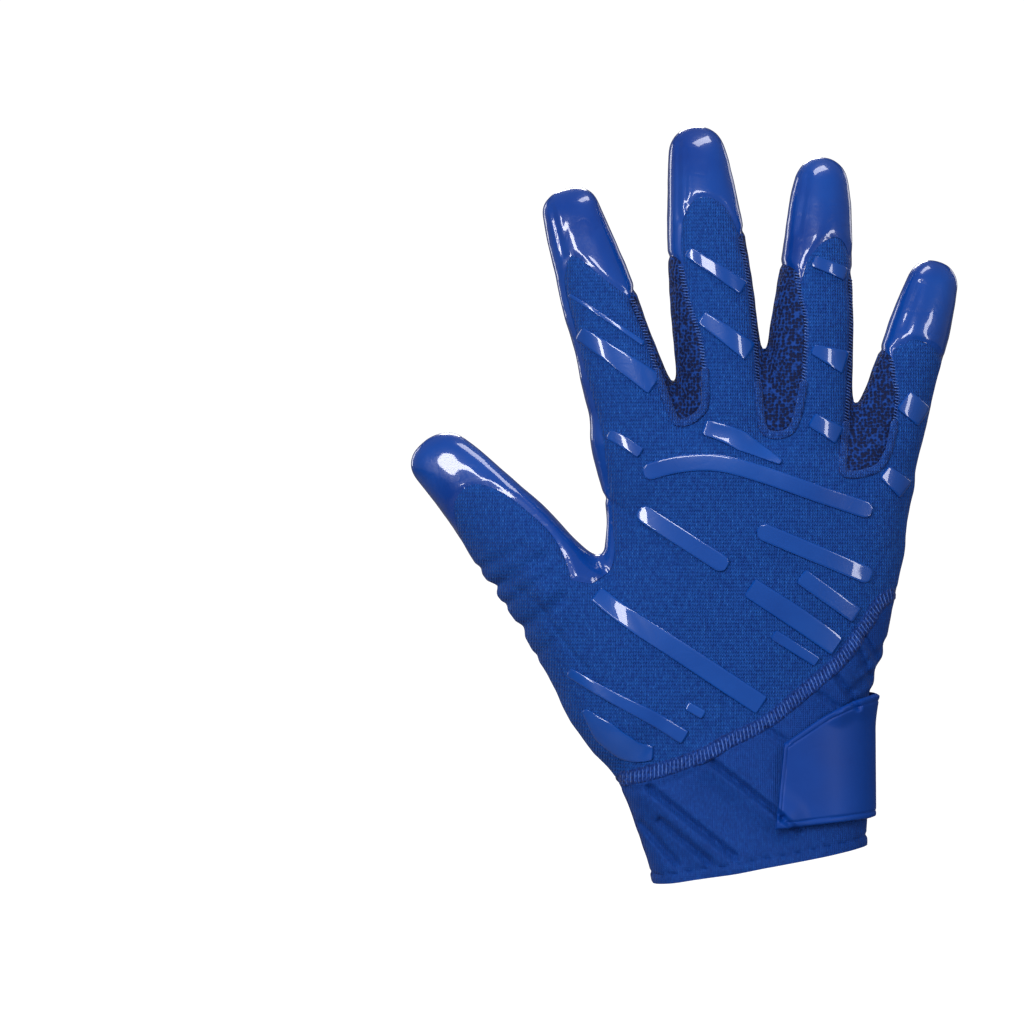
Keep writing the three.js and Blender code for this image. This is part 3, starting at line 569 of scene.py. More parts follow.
    def mesh(self) -> tuple[Points, np.ndarray]:
        """Flat mesh by surface nets: each cell that the surface crosses holds the mean of its edge crossings.

        Returns:
            Points in millimetres and triangles.
        """
        counts = np.ceil((self.HIGH - self.LOW) / self.STEP).astype(int) + 1
        axes = [self.LOW[k] + np.arange(counts[k]) * self.STEP for k in range(3)]
        grid = np.stack(np.meshgrid(*axes, indexing="ij"), axis=-1).reshape(-1, 3)
        batches = np.array_split(grid, self.BATCHES)
        values = np.concatenate([self.field(batch) for batch in batches]).reshape(counts)
        corner_shifts = np.array([(i, j, k) for i in (0, 1) for j in (0, 1) for k in (0, 1)])
        cells = counts - 1
        corner_values = np.stack([values[i:i + cells[0], j:j + cells[1], k:k + cells[2]]
                                  for i, j, k in corner_shifts], axis=-1)
        inside = corner_values < 0
        active = inside.any(-1) & ~inside.all(-1)
        where = np.argwhere(active)
        at = corner_values[active]
        total = np.zeros((len(where), 3))
        crossings = np.zeros(len(where))
        for a in range(8):
            for b in range(a + 1, 8):
                if np.abs(corner_shifts[a] - corner_shifts[b]).sum() != 1:
                    continue
                crosses = (at[:, a] < 0) != (at[:, b] < 0)
                share = np.where(crosses, at[:, a] / np.where(crosses, at[:, a] - at[:, b], 1), 0)
                spot = corner_shifts[a] + share[:, None] * (corner_shifts[b] - corner_shifts[a])
                total += np.where(crosses[:, None], spot, 0)
                crossings += crosses
        points = self.LOW + (where + total / crossings[:, None]) * self.STEP
        number = np.full(cells, -1)
        number[active] = np.arange(len(where))
        quads = []
        sign = values < 0
        for axis in range(3):
            first, second = (axis + 1) % 3, (axis + 2) % 3
            here = [slice(1, -1)] * 3
            here[axis] = slice(0, -1)
            ahead = list(here)
            ahead[axis] = slice(1, None)
            change = np.argwhere(sign[tuple(here)] != sign[tuple(ahead)])
            change += np.array([0 if k == axis else 1 for k in range(3)])
            leaving = sign[tuple(change.T)]
            ring = []
            for back_first, back_second in ((1, 1), (0, 1), (0, 0), (1, 0)):
                cell = change.copy()
                cell[:, first] -= back_first
                cell[:, second] -= back_second
                ring.append(number[tuple(cell.T)])
            quad = np.stack(ring, axis=1)
            quads.append(np.where(leaving[:, None], quad, quad[:, ::-1]))
        quad = np.vstack(quads)
        quad = quad[(quad >= 0).all(1)]
        triangles = np.vstack([quad[:, [0, 1, 2]], quad[:, [0, 2, 3]]])
        return self.settle(points), triangles


def clip_mesh(points: Points, triangles: np.ndarray, keep: np.ndarray) -> tuple[Points, np.ndarray]:
    """Part of a mesh where a value is positive, its cut edges straight between the crossings.

    Args:
        points: Mesh points.
        triangles: Mesh triangles.
        keep: One value a point.

    Returns:
        Points and triangles of the part.
    """
    least = 0.03
    keep = np.where(np.abs(keep) < least, least * np.where(keep < 0, -1, 1), keep)
    kept = keep > 0
    count = kept[triangles].sum(1)
    partial = triangles[(count == 1) | (count == 2)]
    states = kept[partial]
    odd = np.where(states.sum(1) == 1, states.argmax(1), (~states).argmax(1))
    turned = np.take_along_axis(partial, (odd[:, None] + np.arange(3)) % 3, axis=1)
    a, b, c = turned.T
    edges = np.sort(np.vstack([np.column_stack([a, b]), np.column_stack([a, c])]), axis=1)
    unique, inverse = np.unique(edges, axis=0, return_inverse=True)
    inverse = inverse.ravel()
    low, high = unique.T
    share = keep[low] / (keep[low] - keep[high])
    fresh = points[low] + share[:, None] * (points[high] - points[low])
    ab = len(points) + inverse[:len(a)]
    ac = len(points) + inverse[len(a):]
    alone = kept[a]
    faces = np.vstack([
        triangles[count == 3],
        np.column_stack([a, ab, ac])[alone],
        np.column_stack([ab, b, c])[~alone],
        np.column_stack([ab, c, ac])[~alone],
    ])
    everything = np.vstack([points, fresh])
    used, renumbered = np.unique(faces, return_inverse=True)
    return everything[used], renumbered.reshape(faces.shape)


def inside_outline(places: np.ndarray, outline: np.ndarray) -> np.ndarray:
    """Distance to an outline, positive inside: the least distance to its edges, signed by edge crossings.

    Args:
        places: Flat X and Z.
        outline: Corners in order.

    Returns:
        Signed distances.
    """
    tiny = 1e-9
    least = np.full(len(places), np.inf)
    inside = np.zeros(len(places), bool)
    x, z = places.T
    for start, end in zip(outline, np.roll(outline, -1, axis=0)):
        if np.allclose(start, end):
            continue
        least = np.minimum(least, run_distance(places, start, end))
        spans = (start[1] > z) != (end[1] > z)
        rise = end[1] - start[1] if abs(end[1] - start[1]) > tiny else tiny
        inside ^= spans & (x < start[0] + (z - start[1]) / rise * (end[0] - start[0]))
    return np.where(inside, least, -least)


def make_object(name: str, points: Points, faces: np.ndarray, angle: float = 40.0) -> bpy.types.Object:
    """Mesh object at the origin, smooth but for edges sharper than an angle.

    Args:
        name: Object name.
        points: Places in metres.
        faces: Triangles or quads.
        angle: Degrees past which an edge is sharp.

    Returns:
        The object, linked to the scene.
    """
    mesh = bpy.data.meshes.new(name)
    sides = faces.shape[1]
    mesh.vertices.add(len(points))
    mesh.vertices.foreach_set("co", np.ascontiguousarray(points, dtype=np.float32).ravel())
    mesh.loops.add(faces.size)
    mesh.loops.foreach_set("vertex_index", np.ascontiguousarray(faces, dtype=np.int32).ravel())
    mesh.polygons.add(len(faces))
    mesh.polygons.foreach_set("loop_start", np.arange(len(faces), dtype=np.int32) * sides)
    mesh.update(calc_edges=True)
    mesh.validate()
    mesh.set_sharp_from_angle(angle=math.radians(angle))
    made = bpy.data.objects.new(name, mesh)
    bpy.context.scene.collection.objects.link(made)
    return made


def wall_mesh(outer: Points, inner: Points, triangles: np.ndarray) -> tuple[Points, np.ndarray]:
    """Closed wall between two skins of one mesh, its open edges joined by strips.

    Args:
        outer: Outer places.
        inner: Inner places, one for each outer one.
        triangles: Triangles that face out.

    Returns:
        Points and triangles of the wall.
    """
    count = len(outer)
    edges = np.vstack([triangles[:, [0, 1]], triangles[:, [1, 2]], triangles[:, [2, 0]]])
    code = np.sort(edges, axis=1) @ np.array([count, 1])
    _, first, times = np.unique(code, return_index=True, return_counts=True)
    start, end = edges[first[times == 1]].T
    strips = np.vstack([np.column_stack([end, start, start + count]),
                        np.column_stack([end, start + count, end + count])])
    return np.vstack([outer, inner]), np.vstack([triangles, triangles[:, ::-1] + count, strips])


def ripples(points: Points, length: float, height: float, seed: int) -> np.ndarray:
    """Soft unevenness: the mean of a few sine waves in seeded directions.

    Args:
        points: Flat places.
        length: Typical wave length.
        height: Largest height.
        seed: Seed of the directions.

    Returns:
        Heights.
    """
    rng = np.random.default_rng(seed)
    total = np.zeros(len(points))
    waves = 9
    for _ in range(waves):
        direction = rng.normal(size=3)
        direction *= 2 * np.pi / length * rng.uniform(0.6, 1.6) / np.linalg.norm(direction)
        total += np.sin(points @ direction + rng.uniform(0, 2 * np.pi))
    return total * height / waves * 2


class Graph:
    """Node tree of one material or group, with short calls to add and join nodes."""

    def __init__(self, tree: bpy.types.NodeTree) -> None:
        """Keeps the tree."""
        self.tree = tree

    def add(self, kind: str, **values: object) -> bpy.types.Node:
        """Adds a node.

        Args:
            kind: Blender's name of the node type.
            values: Node properties, or socket values and links: by input name with spaces as underscores,
                or by the letter i and the input's number.

        Returns:
            The node.
        """
        node = self.tree.nodes.new(kind)
        for key, value in values.items():
            if hasattr(node, key):
                setattr(node, key, value)
                continue
            numbered = key[0] == "i" and key[1:].isdigit()
            socket = node.inputs[int(key[1:]) if numbered else key.replace("_", " ")]
            if isinstance(value, bpy.types.NodeSocket):
                self.tree.links.new(value, socket)
            else:
                socket.default_value = value
        return node

    def math(self, operation: str, first: object, second: object = 0.0,
             third: object = 0.0) -> bpy.types.NodeSocket:
        """Adds a maths node and returns its value."""
        return self.add("ShaderNodeMath", operation=operation, i0=first, i1=second, i2=third).outputs[0]

    def mix(self, factor: object, first: object, second: object) -> bpy.types.NodeSocket:
        """Adds a colour mix and returns its colour."""
        node = self.add("ShaderNodeMix", data_type="RGBA", i0=factor, i6=first, i7=second)
        return node.outputs[2]

    def ramp(self, value: bpy.types.NodeSocket, low: float, high: float) -> bpy.types.NodeSocket:
        """Adds a clamped range from low to high and returns 0 to 1."""
        node = self.add("ShaderNodeMapRange", i0=value, i1=low, i2=high, i3=0.0, i4=1.0)
        return node.outputs[0]


def linear(red: int, green: int, blue: int) -> tuple[float, float, float, float]:
    """Returns scene-linear RGBA from display values of 0 to 255."""
    shares = [channel / 255 for channel in (red, green, blue)]
    return (*[s / 12.92 if s <= 0.04045 else ((s + 0.055) / 1.055) ** 2.4 for s in shares], 1.0)


def start_group(name: str, inputs: dict[str, float], outputs: tuple[str, ...]) -> tuple[
        bpy.types.NodeTree, Graph, bpy.types.Node, bpy.types.Node]:
    """Shader node group with float inputs and outputs and a Vector input for the place.

    Args:
        name: Group name.
        inputs: Input names and their values.
        outputs: Output names.

    Returns:
        The group, its graph, its input node and its output node.
    """
    group = bpy.data.node_groups.new(name, "ShaderNodeTree")
    group.interface.new_socket(name="Vector", in_out="INPUT", socket_type="NodeSocketVector")
    for label, value in inputs.items():
        socket = group.interface.new_socket(name=label, in_out="INPUT", socket_type="NodeSocketFloat")
        socket.default_value = value
    for label in outputs:
        group.interface.new_socket(name=label, in_out="OUTPUT", socket_type="NodeSocketFloat")
    graph = Graph(group)
    return group, graph, graph.add("NodeGroupInput"), graph.add("NodeGroupOutput")


def knit_group() -> bpy.types.NodeTree:
    """Fine upright knit: waves across the wales, broken by stretched noise into heathered speckles."""
    group, graph, source, sink = start_group("knit_wales", {"Wales": 1280.0, "Rows": 900.0},
                                             ("Height", "Heather"))
    place = graph.add("ShaderNodeSeparateXYZ", i0=source.outputs["Vector"])
    wobble = graph.add("ShaderNodeTexNoise", Vector=source.outputs["Vector"], Scale=160.0, Detail=2.0)
    drift = graph.math("MULTIPLY", wobble.outputs[0], 3.0)
    across = graph.math("MULTIPLY", place.outputs[0], source.outputs["Wales"])
    wale = graph.math("SINE", graph.math("MULTIPLY_ADD", across, 2 * math.pi, drift))
    upward = graph.math("MULTIPLY", place.outputs[2], source.outputs["Rows"])
    sway = graph.math("MULTIPLY", wale, 1.2)
    row = graph.math("SINE", graph.math("MULTIPLY_ADD", upward, 2 * math.pi, sway))
    height = graph.math("ADD", graph.math("MULTIPLY", wale, 0.35), graph.math("MULTIPLY", row, 0.2))
    stretched = graph.add("ShaderNodeMapping", vector_type="POINT", Vector=source.outputs["Vector"])
    stretched.inputs["Scale"].default_value = (2.2, 1.6, 0.9)
    speckle = graph.add("ShaderNodeTexNoise", Vector=stretched.outputs[0], Scale=700.0, Detail=3.0,
                        Roughness=0.75)
    graph.tree.links.new(graph.math("ADD", height, 0.5), sink.inputs["Height"])
    graph.tree.links.new(graph.ramp(speckle.outputs[0], 0.36, 0.66), sink.inputs["Heather"])
    return group


def crease_group() -> bpy.types.NodeTree:
    """Coated leather: fine pebble cells under long soft wrinkles."""
    group, graph, source, sink = start_group("leather_creases", {"Grain": 900.0, "Wrinkles": 55.0},
                                             ("Height", "Patches"))
    grain = graph.add("ShaderNodeTexVoronoi", Vector=source.outputs["Vector"], Scale=source.outputs["Grain"])
    soft = graph.add("ShaderNodeTexNoise", Vector=source.outputs["Vector"], Scale=source.outputs["Wrinkles"],
                     Detail=4.0, Roughness=0.55, Distortion=0.9)
    line = graph.math("ABSOLUTE", graph.math("SUBTRACT", soft.outputs[0], 0.5))
    fold = graph.ramp(line, 0.0, 0.05)
    height = graph.math("MULTIPLY_ADD", grain.outputs[0], 0.12, graph.math("MULTIPLY", fold, 0.35))
    patches = graph.add("ShaderNodeTexNoise", Vector=source.outputs["Vector"], Scale=38.0, Detail=3.0)
    graph.tree.links.new(height, sink.inputs["Height"])
    graph.tree.links.new(patches.outputs[0], sink.inputs["Patches"])
    return group


def mesh_group() -> bpy.types.NodeTree:
    """Open mesh: raised yarn round pores, which sit at the middles of nearly even cells."""
    group, graph, source, sink = start_group("open_mesh", {"Cells": 900.0}, ("Yarn", "Height"))
    pores = graph.add("ShaderNodeTexVoronoi", Vector=source.outputs["Vector"], Scale=source.outputs["Cells"],
                      Randomness=0.6)
    yarn = graph.ramp(pores.outputs[0], 0.4, 0.72)
    graph.tree.links.new(yarn, sink.inputs["Yarn"])
    graph.tree.links.new(graph.math("MULTIPLY", yarn, 0.6), sink.inputs["Height"])
    return group


@dataclass(frozen=True)
class Finish:
    """Surface finish: colours as display values, gloss from the shader's own sockets, bump in metres."""

    name: str
    base: tuple[int, int, int]
    dark: tuple[int, int, int]
    light: tuple[int, int, int]
    roughness: float
    coat: float = 0.0
    coat_roughness: float = 0.1
    sheen: float = 0.0
    specular: float = 0.2
    bump: float = 0.0002
    scales: tuple[float, ...] = ()

    def shader(self) -> tuple[bpy.types.Material, Graph, bpy.types.Node, bpy.types.NodeSocket]:
        """Returns a material with its graph, its shader node and the Object coordinates."""
        material = bpy.data.materials.new(self.name)
        material.use_nodes = True
        material.diffuse_color = linear(*self.base)
        graph = Graph(material.node_tree)
        shader = material.node_tree.nodes["Principled BSDF"]
        shader.inputs["Base Color"].default_value = linear(*self.base)
        shader.inputs["Roughness"].default_value = self.roughness
        shader.inputs["Coat Weight"].default_value = self.coat
        shader.inputs["Coat Roughness"].default_value = self.coat_roughness
        shader.inputs["Sheen Weight"].default_value = self.sheen
        shader.inputs["Sheen Roughness"].default_value = 0.4
        shader.inputs["Specular IOR Level"].default_value = self.specular
        return material, graph, shader, graph.add("ShaderNodeTexCoord").outputs["Object"]

    def use_group(self, graph: Graph, group: bpy.types.NodeTree,
                  place: bpy.types.NodeSocket) -> bpy.types.Node:
        """Returns the group's node in a graph, with the finish's scales in its inputs."""
        node = graph.add("ShaderNodeGroup", node_tree=group)
        graph.tree.links.new(place, node.inputs["Vector"])
        for value, socket in zip(self.scales, list(node.inputs)[1:]):
            socket.default_value = value
        return node

    def raise_surface(self, graph: Graph, shader: bpy.types.Node, height: bpy.types.NodeSocket) -> None:
        """Feeds a height to the shader's normal through a bump node."""
        bump = graph.add("ShaderNodeBump", Height=height, Distance=self.bump)
        graph.tree.links.new(bump.outputs[0], shader.inputs["Normal"])


class Finishes:
    """All finishes of the glove, built once."""

    def __init__(self) -> None:
        """Builds the groups and the materials."""
        knit, creases, mesh = knit_group(), crease_group(), mesh_group()
        self.knit = self.woven(Finish("heathered_knit", (8, 72, 152), (2, 51, 126), (56, 112, 194), 0.75,
                                      sheen=0.05, bump=0.0003), knit)
        self.cuff = self.woven(Finish("cuff_knit", (4, 62, 143), (2, 50, 124), (32, 88, 170), 0.7,
                                      sheen=0.04, bump=0.00015, scales=(1500.0, 1500.0)), knit)
        self.overlock = self.woven(Finish("overlock_yarn", (8, 60, 142), (2, 34, 96), (60, 106, 190), 0.75,
                                          sheen=0.1, bump=0.0004, scales=(900.0, 700.0)), knit)
        self.binding = self.woven(Finish("binding_yarn", (16, 74, 158), (3, 42, 110), (84, 130, 208), 0.75,
                                         sheen=0.1, bump=0.0004, scales=(1300.0, 1000.0)), knit)
        self.elastic = self.woven(Finish("ribbed_elastic", (14, 54, 138), (3, 26, 86), (54, 92, 176), 0.6,
                                         bump=0.0005, scales=(60.0, 620.0)), knit)
        self.leather = self.coated(Finish("tacky_leather", (0, 60, 146), (0, 52, 134), (4, 68, 154), 0.32,
                                          coat=1.0, coat_roughness=0.06, bump=0.00016,
                                          scales=(850.0, 42.0)), creases)
        self.rib = self.coated(Finish("moulded_rib", (4, 68, 152), (2, 62, 144), (8, 74, 160), 0.3,
                                      coat=1.0, coat_roughness=0.04, bump=0.00004,
                                      scales=(2400.0, 90.0)), creases)
        self.strap = self.coated(Finish("satin_strap", (0, 58, 142), (0, 54, 135), (1, 62, 148), 0.55,
                                        coat=0.06, coat_roughness=0.3, bump=0.00005,
                                        scales=(3000.0, 60.0)), creases)
        # The dark colours of navy_mesh and hook_tape fill their pores: painted shade in the openings.
        self.mesh = self.netted(Finish("navy_mesh", (10, 48, 120), (2, 16, 56), (16, 62, 140), 0.75,
                                       sheen=0.05, bump=0.0004, scales=(950.0,)), mesh)
        self.hook = self.netted(Finish("hook_tape", (22, 36, 78), (9, 14, 34), (30, 46, 96), 0.8,
                                       bump=0.0006, scales=(900.0,)), mesh)
        self.thread = self.woven(Finish("pale_thread", (70, 112, 190), (34, 74, 156), (120, 156, 222), 0.6,
                                        sheen=0.3, bump=0.0001), knit)
        # Colour of the punched holes: painted shade inside the openings, laid on thin plugs.
        self.hole_shade = self.coated(Finish("punched_hole", (8, 14, 34), (5, 9, 22), (12, 20, 44), 0.8,
                                       bump=0.00002, scales=(2000.0, 90.0)), creases)

    @staticmethod
    def woven(finish: Finish, group: bpy.types.NodeTree) -> bpy.types.Material:
        """Returns a knitted material: speckles of dark and base yarn, with the light colour as a painted
        highlight on the raised wale tops where the yarn speckle is light.
        """
        material, graph, shader, place = finish.shader()
        weave = finish.use_group(graph, group, place)
        body = graph.mix(weave.outputs["Heather"], linear(*finish.dark), linear(*finish.base))
        # Painted highlight: the light colour goes on the raised wale tops, and only where the heather speckle
        # of the yarn is light.
        peak_highlight_and_speckle = graph.math("MULTIPLY", graph.ramp(weave.outputs["Height"], 0.62, 1.05),
                           graph.math("POWER", weave.outputs["Heather"], 2.5))
        graph.tree.links.new(graph.mix(graph.math("MULTIPLY", peak_highlight_and_speckle, 0.85), body, linear(*finish.light)),
                             shader.inputs["Base Color"])
        finish.raise_surface(graph, shader, weave.outputs["Height"])
        return material

    @staticmethod
    def coated(finish: Finish, group: bpy.types.NodeTree) -> bpy.types.Material:
        """Returns a smooth coated material: soft patches of colour and gloss over fine creases."""
        material, graph, shader, place = finish.shader()
        hide = finish.use_group(graph, group, place)
        tone = graph.ramp(hide.outputs["Patches"], 0.3, 0.7)
        graph.tree.links.new(graph.mix(tone, linear(*finish.dark), linear(*finish.light)),
                             shader.inputs["Base Color"])
        rough = graph.math("MULTIPLY_ADD", hide.outputs["Patches"], 0.16, finish.roughness - 0.08)
        graph.tree.links.new(rough, shader.inputs["Roughness"])
        finish.raise_surface(graph, shader, hide.outputs["Height"])
        return material

    @staticmethod
    def netted(finish: Finish, group: bpy.types.NodeTree) -> bpy.types.Material:
        """Returns a net: light yarn round pores, with the pores painted dark as the shade seen through the
        openings.
        """
        material, graph, shader, place = finish.shader()
        net = finish.use_group(graph, group, place)
        # The dark colour fills the pores: painted shade in the openings of the mesh.
        graph.tree.links.new(graph.mix(net.outputs["Yarn"], linear(*finish.dark), linear(*finish.light)),
                             shader.inputs["Base Color"])
        finish.raise_surface(graph, shader, net.outputs["Height"])
        return material


def dress(piece: bpy.types.Object, material: bpy.types.Material, slot: Slot, *nodes: str) -> None:
    """Gives a piece its material and body, and hides the nodes that it stands for.

    Args:
        piece: The object.
        material: Its finish.
        slot: The record's slot; not used.
        nodes: CAD nodes that it replaces.
    """
    piece.data.materials.clear()
    piece.data.materials.append(material)
    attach(piece, "root")
    if nodes:
        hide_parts(*nodes)
    LOG.info("%s: %d faces", piece.name, len(piece.data.polygons))


@dataclass
class PanelSet:
    """The sewn panels, cut out of the skin one after another."""

    skin: Skin
    finishes: Finishes
    seam_dip: float = 0.55
    seam_width: float = 0.9
    seam_spacing: float = 1.5
    hem_width: float = 2.8
    hem_rise: float = 0.35
    groove_depth: float = 0.55
    groove_width: float = 0.45
    flank_level: float = -3.0
    slit_half: float = 1.5
    slit_start: float = 24.0
    slit_top: float = 52.0

    def outlines(self) -> dict[str, np.ndarray]:
        """Returns the flat outlines of the panels by name, smoothed through their points."""
        def seam(points: np.ndarray) -> np.ndarray:
            """Returns the smooth seam through points."""
            return smooth_curve(points, self.seam_spacing)

        tops = {name: seam(DIGITS[name].place(rows)) for name, rows in KNIT_TOPS.items()}
        overlock = seam(on_hand(OVERLOCK_PATH))
        made = {gusset.node: np.vstack([seam(DIGITS[gusset.left].place(gusset.down)),
                                        seam(DIGITS[gusset.right].place(gusset.up))]) for gusset in GUSSETS}
        made["back"] = np.vstack([tops["thumb"], seam(on_hand(WEB_EDGE)), tops["index"], tops["middle"],
                                  tops["ring"], tops["pinky"], on_hand(((0.74, 0.95), (0.60, 0.75))),
                                  overlock[::-1], on_hand(((-0.80, 0.30), (-0.98, 0.52)))])
        made["flank"] = np.vstack([seam(on_hand(GUSSET_OUTER_SEAM)),
                                   on_hand(((-0.62, 0.19), (-0.80, 0.30), (-1.00, 0.50), (-1.00, 0.62)))])
        made["cuff"] = np.vstack([overlock, on_hand(((0.56, -0.20), (-0.62, -0.20)))])
        made["thumb_gusset"] = np.vstack([seam(on_hand(OUTER_THUMB_SEAM)),
                                          seam(on_hand(GUSSET_OUTER_SEAM))[::-1]])
        made["thumb"] = np.vstack([seam(on_hand(THENAR_SEAM)), seam(on_hand(OUTER_THUMB_SEAM))[::-1],
                                   on_hand(((-1.00, 0.58), (-1.35, 0.80), (-1.35, 1.30), (-0.95, 1.20),
                                            (-0.65, 0.98)))])
        made["elastic"] = on_hand(ELASTIC_EDGE)
        return made

    def cutters(self) -> list[tuple[str, Cutter]]:
        """Returns the panels' cutters in cutting order: each is positive inside its panel."""
        outlines = self.outlines()

        def flat(name: str) -> Cutter:
            """Returns a cutter inside an outline, through the whole hand."""
            return lambda points: inside_outline(points[:, [0, 2]], outlines[name])

        def back(name: str, level: float = HAND.side_seam) -> Cutter:
            """Returns a cutter inside an outline, on the back's side of a level."""
            return lambda points: np.minimum(flat(name)(points), level - points[:, 1])

        def front(name: str, level: float = HAND.side_seam) -> Cutter:
            """Returns a cutter inside an outline, on the palm's side of a level."""
            return lambda points: np.minimum(flat(name)(points), points[:, 1] - level)

        def back_and_flank(points: Points) -> np.ndarray:
            """Returns the back's value, joined with that of its flank round the thumb's base."""
            return np.maximum(back("back")(points), front("flank", self.flank_level)(points))

        return [*((gusset.node, back(gusset.node, HAND.finger_seam)) for gusset in GUSSETS),
                ("back_panel", back_and_flank), ("cuff_panel", back("cuff")),
                ("thumb_gusset", front("thumb_gusset")), ("thumb_panel", flat("thumb")),
                ("elastic_band", front("elastic"))]

    def relief(self, name: str, points: Points) -> np.ndarray:
        """Panel's own unevenness over the skin: the turned hem and its groove, wrinkles and soft ripples.

        Args:
            name: The panel's node.
            points: Flat places.

        Returns:
            Heights in millimetres.
        """
        above_hem = points[:, 2] - HAND.hem_slope * points[:, 0] - self.hem_width
        band = (self.hem_rise * (1 - smoothstep(above_hem, -0.5, 0.1))
                - self.groove_depth * np.exp(-(above_hem / self.groove_width) ** 2))
        band += ridge(points[:, [0, 2]], WRINKLES) * (1 - smoothstep(points[:, 1], 2.0, 10.0))
        if name in ("palm_panel", "thumb_panel"):
            return band + ripples(points, 17, 0.2, 3) + ripples(points, 6.5, 0.06, 4)
        if name in ("back_panel", "cuff_panel"):
            return band + ripples(points, 22, 0.22, 5) + ripples(points, 9, 0.1, 7)
        return band + ripples(points, 8, 0.08, 6)

    def build(self) -> None:
        """Cuts, thickens, bends and dresses every panel."""
        points, triangles = self.skin.mesh()
        LOG.info("skin: %d triangles", len(triangles))
        points, triangles = clip_mesh(points, triangles, points[:, 2] - HAND.hem_slope * points[:, 0])
        slit = np.maximum.reduce([np.abs(points[:, 1] - HAND.side_seam) - self.slit_half,
                                  self.slit_start - points[:, 0], points[:, 2] - self.slit_top])
        points, triangles = clip_mesh(points, triangles, slit)
        materials = {
            "palm_panel": (self.finishes.leather, Slot.PALM),
            "thumb_panel": (self.finishes.leather, Slot.PALM),
            "back_panel": (self.finishes.knit, Slot.KNIT),
            "cuff_panel": (self.finishes.cuff, Slot.KNIT),
            "elastic_band": (self.finishes.elastic, Slot.ELASTIC),
        }
        cutters = self.cutters()
        for name, cutter in cutters + [("palm_panel", None)]:
            if cutter is None:
                part, faces = points, triangles
            else:
                value = cutter(points)
                part, faces = clip_mesh(points, triangles, value)
                points, triangles = clip_mesh(points, triangles, -value)
            nearest = np.min([np.abs(other(part)) for _, other in cutters], axis=0)
            dip = -self.seam_dip * np.exp(-(nearest / self.seam_width) ** 2)
            normal = self.skin.normal(part)
            outer = part + normal * (self.relief(name, part) + dip)[:, None]
            inner = part - normal * (HAND.wall - dip)[:, None]
            closed, sides = wall_mesh(self.skin.bend(outer), self.skin.bend(inner), faces)
            piece = make_object(name + "_skin", closed, sides, 50)
            material, slot = materials.get(name, (self.finishes.mesh, Slot.MESH))
            dress(piece, material, slot, name)


def sweep(skin: Skin, centre: np.ndarray, widths: np.ndarray, height: float, bevel: float,
          round_ends: bool) -> tuple[Points, np.ndarray]:
    """Closed band laid on the back's skin: a rounded-edge section carried along a path.

    Across the band the section is flat, with quarter-ellipse shoulders as wide as the bevel, and the same
    rule rounds it off at both ends.

    Args:
        skin: What it lies on.
        centre: Flat path, evenly sampled.
        widths: Width at each sample.
        height: Height over the skin.
        bevel: Width of the shoulders.
        round_ends: Whether the outline ends in half circles.

    Returns:
        Points in metres and quads.
    """
    across = 17
    corner = 0.9
    depth = 0.5
    normal = across_path(centre)
    length = length_along(centre)
    to_end = np.minimum(length, length[-1] - length)
    radius = widths / 2 if round_ends else np.full(len(widths), min(corner, widths.min() / 2))
    gone = np.clip(1 - to_end / radius, 0, 1)
    narrow = np.sqrt(np.maximum(1 - gone ** 2, 0.0004))
    half = widths / 2 * narrow if round_ends else widths / 2 - radius * (1 - narrow)
    t = np.sin(np.linspace(-1, 1, across) * np.pi / 2)
    places = centre[:, None] + normal[:, None] * (half[:, None] * t)[..., None]
    edge = np.minimum(half[:, None] * (1 - np.abs(t)), to_end[:, None] + 0.02)
    shoulder = np.sqrt(np.clip(1 - (1 - np.clip(edge / bevel, 0, 1)) ** 2, 0, 1))
    flat = places.reshape(-1, 2)
    base = skin.height(flat, BACK)
    upper = np.column_stack([flat[:, 0], base - height * shoulder.ravel(), flat[:, 1]])
    lower = np.column_stack([flat[:, 0], base + depth, flat[:, 1]])
    return skin.bend(np.vstack([upper, lower])), shell_quads(len(centre), across, True)


def shell_quads(rows: int, columns: int, flip: bool) -> np.ndarray:
    """Quads of a closed slab of two grids, upper then lower, joined round their rim.

    Args:
        rows: Samples along.
        columns: Samples across.
        flip: Whether the faces turn over.

    Returns:
        Quads.
    """
    index = np.arange(rows * columns).reshape(rows, columns)
    top = np.stack([index[:-1, :-1], index[1:, :-1], index[1:, 1:], index[:-1, 1:]], axis=-1).reshape(-1, 4)
    below = rows * columns
    rim = np.concatenate([index[0, :], index[1:, -1], index[-1, -2::-1], index[-2:0:-1, 0]])
    after = np.roll(rim, -1)
    wall = np.column_stack([rim, after, after + below, rim + below])
    quads = np.vstack([top, top[:, ::-1] + below, wall])
    return quads[:, ::-1] if flip else quads


@dataclass(frozen=True)
class Rib:
    """Moulded rib: path as shares of the hand, or of a digit if it names one; widths in millimetres."""

    node: str
    path: Pairs
    widths: tuple[float, ...]
    digit: str = ""
    round_ends: bool = False
    height: float = 0.75

    def centre(self) -> np.ndarray:
        """Returns the flat path."""
        places = DIGITS[self.digit].place(self.path) if self.digit else on_hand(self.path)
        return smooth_curve(places, 0.45)


